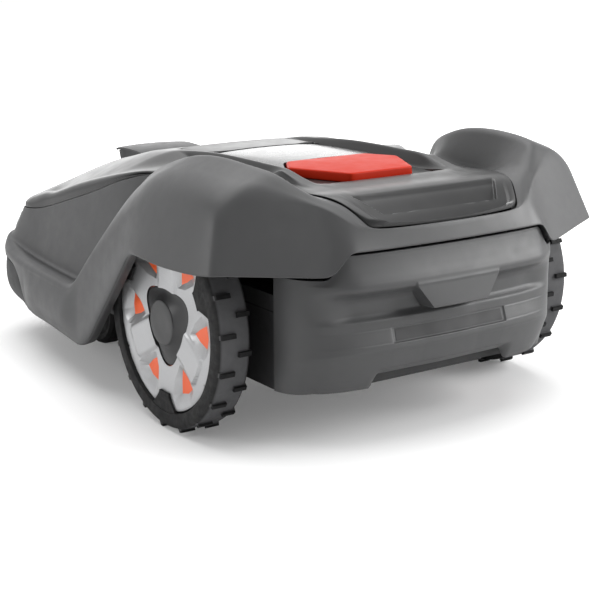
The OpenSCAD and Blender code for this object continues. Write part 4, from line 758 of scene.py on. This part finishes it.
def cap_rings():
    """Hub cap: lobed wall, then rings that shrink from the lobes to a raised round face."""
    turn = np.arange(0, 360, 1.5)
    lobed = cap_radius(turn)
    shoulder, bevel, rise, face = 2.7, 1.4, 7.4, 25.5
    rows = [(0, lobed), (1.6, lobed), (2.3, lobed - 0.5), (shoulder, lobed - bevel)]
    rows += [(shoulder + rise * t**1.5, (lobed - bevel) * (1 - t) + face * t)
             for t in np.linspace(0, 1, 14)[1:]]
    rows += [(10.9, 25.1), (11.3, 24.4), (11.5, 23.4), (11.5, 16), (11.3, 12), (11.2, 6)]
    return np.array([on_axle(radius, turn + NOTCH_TURN, CAP_SEAT + d) for d, radius in rows])


def tyre_grid():
    """Tyre: a rounded profile turned about the axle, raised where a lug stands."""
    count, step, tread_foot, lug_radius, lug_half = 36, 10, 113.2, 122.4, 1.25
    pitch = np.array([-5, -2.5, -1.32, -1.18, -0.4, 0.4, 1.18, 1.32, 2.5])
    turn = (np.arange(count)[:, None] * step + step / 2 + pitch).ravel()
    radius, depth = TYRE_PROFILE[:, :1], TYRE_PROFILE[:, 1:]
    # Two rows of lugs, each between two depths, the rows half a pitch apart
    lugs = [(depth > low) & (depth < high)
            & (np.abs((turn - start + step) % (2 * step) - step) < lug_half)
            for low, high, start in ((227.1, 244.5, 5), (208.0, 224.1, 15))]
    raised = np.where((radius > tread_foot) & np.any(lugs, axis=0), lug_radius, radius)
    return on_axle(raised, turn, depth)


def tooth_grids(depth):
    """Teeth of the tyre in its cover's notches: radius by angle, the angle widening outwards."""
    radius = np.linspace(80, 103, 10)[:, None]
    half = 7.2 + (np.clip(radius, 83, 101) - 83) * 0.39
    turn = half * np.linspace(-1, 1, 15)[None]
    return [on_axle(radius, turn + NOTCH_TURN + third, depth) for third in THIRDS]


def ray_reach(corners, middle, turn):
    """Distance from middle to a closed outline by direction: nearest crossing of ray and side."""
    way = np.stack([np.cos(turn), np.sin(turn)], axis=-1)[:, None]
    a = corners[None] - middle
    side = np.roll(corners, -1, axis=0)[None] - corners[None]
    cross = lambda p, q: p[..., 0] * q[..., 1] - p[..., 1] * q[..., 0]
    across = cross(way, side)
    across = np.where(np.abs(across) < 1e-9, 1e-9, across)
    far = cross(a, side) / across
    share = cross(a, way) / across
    hit = (share > -1e-6) & (share < 1 + 1e-6) & (far > 0)
    return np.where(hit, far, 1e9).min(axis=1)


def flat_polar(shape):
    """Plane points from pairs of radius and degrees."""
    shape = np.asarray(shape, float)
    a = np.radians(shape[:, 1])
    return np.stack([shape[:, 0] * np.cos(a), shape[:, 0] * np.sin(a)], axis=1)


def cover_depth(p):
    """Face of the wheel cover: a dished disc, a paddle raised at 60 degrees, the rim bevelled."""
    radius = np.hypot(p[..., 0], p[..., 1])
    turn = np.degrees(np.arctan2(p[..., 1], p[..., 0]))
    off = np.abs(np.radians(turn - 60)) * radius
    paddle = (1 - smooth(15.5, 21, off)) * (1 - smooth(80, 82, radius))
    dish = 1 - smooth(46, 90, radius)
    return 243.6 - 3.6 * dish + 2.4 * paddle - 2.0 * smooth(98.4, 100, radius)


def cover_sixth():
    """A sixth of the wheel cover: rings from a window's foot up its reveal and out to the border.

    Returns a closed grid and which cells to keep: cells on the two mirror lines are left out.
    """
    middle = flat_polar([[70, 29]])[0]
    window = flat_polar([[55, 30], [66, 23.5], [80, 19.5], [82, 29], [80.5, 38], [66, 35.5]])
    brow = flat_polar([[48.5, 33], [61, 17.5], [85.5, 11], [97.6, 15.5], [97.8, 34], [86, 45],
                       [66, 44]])
    arc = np.linspace(0, 60, 31)
    hub = np.stack([cap_radius(arc) + 0.9, arc], axis=1)
    rim = np.stack([np.full(25, 100.0), np.linspace(60, 14, 25)], axis=1)
    border = flat_polar(np.vstack([hub, rim, [[83.5, 7.5], [83.5, 0]]]))
    corners = np.vstack([window, brow, border])
    turn = np.concatenate([np.arctan2(*(corners - middle).T[::-1]),
                           np.radians(np.arange(-180, 180, 3.0))])
    turn = np.unique(np.round(turn, 5))
    way = np.stack([np.cos(turn), np.sin(turn)], axis=1)
    foot, top, far = (ray_reach(outline, middle, turn) for outline in (window, brow, border))
    top = np.minimum(top, foot + 0.8 * (far - foot))
    crease = 0.25
    steps = [foot, foot + 0.5 * (top - foot), top - crease, top + crease]
    steps += [top + crease + (far - top - crease) * t for t in
              (0.06, 0.12, 0.25, 0.4, 0.55, 0.7, 0.82, 0.9, 0.95, 0.98, 1.0)]
    plane = [middle + way * step[:, None] for step in steps]
    face = [cover_depth(p) for p in plane]
    back = np.full(len(turn), ACCENT_TOP)
    face[0] = back
    face[1] = 0.5 * (face[0] + face[2])
    grid = np.array([np.column_stack(row) for row in zip(plane + plane[-1:], face + [back])])
    last = np.degrees(np.arctan2(grid[-1, :, 1], grid[-1, :, 0]))
    on_line = (np.abs(last) < 0.05) | (np.abs(last - 60) < 0.05)
    keep = np.ones(grid.shape[:2], bool)
    keep[-2] = ~(on_line & np.roll(on_line, -1))
    return grid, keep


def cover_wheel():
    """Wheel cover: the sixth and its mirror image, turned to the three notches."""
    grid, keep = cover_sixth()
    cells = looped(grid)[1][keep.ravel()]
    radius = np.hypot(grid[..., 0], grid[..., 1])
    turn = np.degrees(np.arctan2(grid[..., 1], grid[..., 0]))
    return joined([(on_axle(radius, side * turn + NOTCH_TURN + third, grid[..., 2]).reshape(-1, 3),
                    cells[:, ::side]) for third in THIRDS for side in (1, -1)])


# Settings

def colour(name, description, default):
    """Property that holds a colour."""
    return FloatVectorProperty(name=name, description=description, default=default,
                               subtype="COLOR", size=3, min=0, max=1)


def number(name, description, default, low=0, **kind):
    """Property that holds a number."""
    return FloatProperty(name=name, description=description, default=default, min=low, **kind)


POWER = {"subtype": "POWER", "unit": "POWER"}


class MowerFinishes(bpy.types.PropertyGroup):
    """Colours of the visible finishes."""
    shell: colour("Body", "Moulded body and rear panel", (0.056, 0.0564, 0.0577))
    cover: colour("Top cover", "Smooth top cover and hatch", (0.023, 0.0232, 0.0237))
    black: colour("Chassis", "Black chassis plastic", (0.022, 0.022, 0.023))
    trim: colour("Trim", "Dark hub cap and sensor housing", (0.027, 0.027, 0.028))
    stop: colour("Stop button", "Red-orange stop button", (0.47, 0.021, 0.005))
    accent: colour("Accent", "Orange insert of the wheels", (0.83, 0.12, 0.03))
    rim: colour("Wheel cover", "Silver wheel cover", (0.46, 0.464, 0.473))
    tyre: colour("Tyre", "Tyre rubber", (0.016, 0.016, 0.0166))


class MowerStage(bpy.types.PropertyGroup):
    """Floor, lamps and camera."""
    floor: number("Floor", "Grey value of the floor", 0.82, max=1)
    sky: number("Sky", "Strength of the even light", 0.39, max=3)
    top_lamp: number("Top lamp", "Power of the soft lamp above", 74.0, **POWER)
    side_lamp: number("Side lamp", "Power of the soft lamp at the right rear", 66.0, **POWER)
    left_lamp: number("Left lamp", "Power of the small soft lamp at the left", 4.0, **POWER)
    back_lamp: number("Back lamp", "Power of the low soft lamp behind the object", 19.0, **POWER)
    lens: number("Lens", "Focal length of the camera", 84.38, low=10, unit="CAMERA")


# Steps

class MOWER_OT_finishes(bpy.types.Operator):
    """Make the materials and give every part of the frame its finish"""
    bl_idname = "mower.finishes"
    bl_label = "Finishes"

    def execute(self, context):
        c = context.scene.mower_finishes
        # Roughness, then grain in turns per metre, its depth in metres and the spread of shade
        moulded("shell_grey", c.shell, 0.46, painted_shade_reach=0.12)
        moulded("panel_grey", c.shell, 0.48)
        moulded("cover_grey", c.cover, 0.3, 300.0, 0.000003)
        moulded("hatch_gloss", c.cover, 0.28, 300.0, 0.000002, coat=0.4, coat_rough=0.12)
        moulded("chassis_black", c.black, 0.6, 1500.0, 0.00006)
        moulded("trim_black", c.trim, 0.4, 2200.0, 0.00002)
        moulded("stop_red", c.stop, 0.45, 1800.0, 0.00001, 0.04, specular=0.12)
        moulded("accent_orange", c.accent, 0.4, 1800.0, 0.00001, 0.05)
        moulded("display_glass", (0.012, 0.016, 0.018), 0.12, 300.0, 0.000004, 0.2, coat=0.8,
                coat_rough=0.12)
        moulded("board_green", (0.01, 0.10, 0.03), 0.4, 700.0, 0.0001, 0.3)
        moulded("battery_grey", (0.07, 0.08, 0.09), 0.4)
        moulded("key_grey", (0.07, 0.07, 0.072), 0.5)
        moulded("key_green", (0.03, 0.26, 0.08), 0.5)
        moulded("key_red", (0.42, 0.03, 0.02), 0.5)
        turned_steel("steel", (0.55, 0.56, 0.58), 0.3)
        turned_steel("motor_metal", (0.42, 0.43, 0.44), 0.45)
        turned_steel("bush_brass", (0.62, 0.42, 0.16), 0.35)
        turned_steel("contact_brass", (0.70, 0.50, 0.22), 0.25)
        silver_paint("rim_silver", c.rim)
        # Tyre with painted light on its tread band and painted shade on its lugs
        rubber("tyre_black", c.tyre, tread=5.0)
        rubber("seal_rubber", shade(c.tyre, 0.8))
        clear_lens("lamp_clear", (0.75, 0.77, 0.78))
        for part in frame["record"]["subparts"]:
            mesh = frame["nodes"][part["node"]].data
            mesh.materials.clear()
            mesh.materials.append(FINISHES[part["material_slot"]])
        return {"FINISHED"}


class MOWER_OT_body_shell(bpy.types.Operator):
    """Sweep the body shell through its feature lines"""
    bl_idname = "mower.body_shell"
    bl_label = "Body shell"

    def execute(self, context):
        skin = looped(shell_rings(12))
        add_piece("shell", skin, "floating_body", ["body_shell"], "shell_grey", 40)
        return {"FINISHED"}


class MOWER_OT_top_cover(bpy.types.Operator):
    """Loft the top cover between the seams"""
    bl_idname = "mower.top_cover"
    bl_label = "Top cover"

    def execute(self, context):
        add_piece("cover", cover_skin(), "floating_body", ["top_cover"], "cover_grey", 40)
        return {"FINISHED"}


class MOWER_OT_rear_panel(bpy.types.Operator):
    """Carry the rear panel's profile along its plan line"""
    bl_idname = "mower.rear_panel"
    bl_label = "Rear panel"

    def execute(self, context):
        add_piece("panel", slab(panel_grid(False), panel_grid(True)), "chassis", ["rear_panel"],
                  "panel_grey", 50)
        add_piece("panel_plate", slab(plate_grid(0.3), plate_grid(-0.6)), "chassis", [],
                  "chassis_black")
        return {"FINISHED"}


class MOWER_OT_front(bpy.types.Operator):
    """Build the bumper and the sensor housing"""
    bl_idname = "mower.front"
    bl_label = "Front pieces"

    def execute(self, context):
        add_piece("bumper", slab(bumper_grid(0.0), bumper_grid(4.0)), "floating_body",
                  ["front_bumper"], "chassis_black", 40)
        add_piece("visor", visor_body(), "floating_body", ["sensor_visor"], "trim_black", 40)
        add_piece("visor_roof", slab(visor_grid(0.0, 0.0), visor_grid(0.6, 2.6)), "floating_body",
                  [], "trim_black", 40)
        return {"FINISHED"}


class MOWER_OT_controls(bpy.types.Operator):
    """Build the hatch, the hood and strip beside it and the stop button"""
    bl_idname = "mower.controls"
    bl_label = "Hatch and stop button"

    def execute(self, context):
        add_piece("lid", slab(hatch_grid(0.0), hatch_grid(4.0)), "hatch", ["hatch"], "cover_grey",
                  40, "hatch_gloss")
        add_piece("button_apron", slab(apron_grid(266.4), apron_grid(265.4)), "chassis", [],
                  "cover_grey")
        add_piece("hood_tongue", slab(tongue_grid(0.0), tongue_grid(1.2)), "chassis", [],
                  "cover_grey", 40)
        add_piece("stop_cap", capped(button_rings()), "stop_button", ["stop_button"],
                  "stop_red", 45)
        return {"FINISHED"}


class MOWER_OT_wheels(bpy.types.Operator):
    """Build the covers, hub caps and tyres of both rear wheels"""
    bl_idname = "mower.wheels"
    bl_label = "Rear wheels"

    def execute(self, context):
        face, back = tooth_grids(246.0), tooth_grids(239.0)
        teeth = joined([slab(*pair) for pair in zip(face, back)])
        shapes = (("wheel_cover", cover_wheel(), "rim_silver", 28),
                  ("hub_cap", capped(cap_rings()), "trim_black", 28),
                  ("tyre", looped(tyre_grid()), "tyre_black", 32))
        for side, sign in (("right", [1, 1, 1]), ("left", MIRROR)):
            for name, (points, faces), slot, sharp in shapes:
                node = f"{side}_{name}"
                add_piece(f"{node}_skin", (points * sign, faces), f"{side}_wheel", [node],
                          slot, sharp)
            add_piece(f"{side}_tyre_teeth", (teeth[0] * sign, teeth[1]), f"{side}_wheel", [],
                      "tyre_black")
        return {"FINISHED"}


class MOWER_OT_stage(bpy.types.Operator):
    """Set the floor, the lamps and the camera"""
    bl_idname = "mower.stage"
    bl_label = "Stage"

    def lamp(self, context, name, place, aim, size, power):
        """Soft oblong lamp at a place, turned to a point."""
        data = bpy.data.lights.new(name, "AREA")
        data.shape = "RECTANGLE"
        data.size, data.size_y = size
        data.energy = power
        lamp = bpy.data.objects.new(name, data)
        lamp.visible_camera = False
        lamp.location = place
        way = np.subtract(aim, place)
        tilt = math.atan2(math.hypot(way[0], way[1]), -way[2])
        lamp.rotation_euler = (tilt, 0, math.atan2(-way[0], way[1]))
        context.scene.collection.objects.link(lamp)

    def floor_finish(self, grey):
        """Matt floor that turns into the white backdrop with the distance from the middle."""
        finish = bpy.data.materials.new("floor")
        finish.use_nodes = True
        tree = finish.node_tree
        tree.nodes.clear()
        far = distance(add_node(tree, "TexCoord")["Object"])
        lift = times(add_node(tree, "LightPath")["Is Camera Ray"],
                     remap(far, 0.14, 0.85, 0.3, 1.5))
        matt = add_node(tree, "BsdfDiffuse", {"Color": (grey, grey, grey, 1)})[0]
        glow = add_node(tree, "Emission", {"Strength": lift})[0]
        both = add_node(tree, "AddShader", {0: matt, 1: glow})[0]
        add_node(tree, "OutputMaterial", {"Surface": both})
        return finish

    def studio_light(self, sky):
        """Surroundings: white to the camera, an even light, in reflections bright low behind."""
        world = bpy.data.worlds.new("studio")
        world.use_nodes = True
        tree = world.node_tree
        path = add_node(tree, "LightPath")
        way = add_node(tree, "TexCoord")["Generated"]
        depth = add_node(tree, "VectorMath", {0: way, 1: (0.5, 0.72, -0.8)},
                         operation="DOT_PRODUCT")["Value"]
        low_behind = remap(depth, 0.24, 1.0, -0.25, 0.15)
        mirrored = add_node(tree, "Mix", {"A": sky, "B": low_behind,
                                          "Factor": path["Is Glossy Ray"]})["Result"]
        seen = add_node(tree, "Mix", {"A": mirrored, "B": 1.0, "Factor": path["Is Camera Ray"]})
        back = tree.nodes["Background"]
        back.inputs["Color"].default_value = (1, 1, 1, 1)
        tree.links.new(seen["Result"], back.inputs["Strength"])
        return world

    def execute(self, context):
        scene = context.scene
        s = scene.mower_stage
        scene.view_settings.view_transform = "Standard"
        mesh = bpy.data.meshes.new("floor")
        mesh.from_pydata([(-9, -9, 0), (9, -9, 0), (9, 9, 0), (-9, 9, 0)], [], [(0, 1, 2, 3)])
        floor = bpy.data.objects.new("floor", mesh)
        scene.collection.objects.link(floor)
        mesh.materials.append(self.floor_finish(s.floor))
        scene.world = self.studio_light(s.sky)
        for name, place, aim, size in (
                ("top_lamp", (0, 0.3, 2.4), (0, 0, 0.1), (3.0, 3.0)),
                ("side_lamp", (2.0, -1.6, 1.2), (0, -0.2, 0.15), (1.4, 1.4)),
                ("left_lamp", (-1.3, 0.1, 0.6), (-0.2, -0.05, 0.2), (0.5, 0.5)),
                ("back_lamp", (1.88, 2.71, 0.45), (0, 0, 0.45), (4.6, 0.9))):
            self.lamp(context, name, place, aim, size, getattr(s, name))
        data = bpy.data.cameras.new("camera")
        data.lens = s.lens
        data.sensor_width = 36.0
        camera = bpy.data.objects.new("camera", data)
        camera.location = (-0.96202, -1.45382, 0.53443)
        tilt, heading = 14.672, 34.66
        camera.rotation_euler = (math.radians(90 - tilt), 0, math.radians(-heading))
        scene.collection.objects.link(camera)
        scene.camera = camera
        return {"FINISHED"}


class MOWER_PT_panel(bpy.types.Panel):
    """Buttons and settings of the mower"""
    bl_label = "Mower"
    bl_space_type = "VIEW_3D"
    bl_region_type = "UI"
    bl_category = "Mower"

    def draw(self, context):
        for step in STEPS:
            self.layout.operator(step.bl_idname)
        for group in (context.scene.mower_finishes, context.scene.mower_stage):
            for key in group.__annotations__:
                self.layout.prop(group, key)


STEPS = (MOWER_OT_stage, MOWER_OT_finishes, MOWER_OT_body_shell, MOWER_OT_top_cover,
         MOWER_OT_rear_panel, MOWER_OT_front, MOWER_OT_controls, MOWER_OT_wheels)
CLASSES = (MowerFinishes, MowerStage, *STEPS, MOWER_PT_panel)


def register():
    for cls in CLASSES:
        bpy.utils.register_class(cls)
    bpy.types.Scene.mower_finishes = PointerProperty(type=MowerFinishes)
    bpy.types.Scene.mower_stage = PointerProperty(type=MowerStage)


def unregister():
    del bpy.types.Scene.mower_stage
    del bpy.types.Scene.mower_finishes
    for cls in reversed(CLASSES):
        bpy.utils.unregister_class(cls)


def main():
    register()
    for step in STEPS:
        group, action = step.bl_idname.split(".")
        getattr(getattr(bpy.ops, group), action)()


if __name__ == "__main__":
    main()
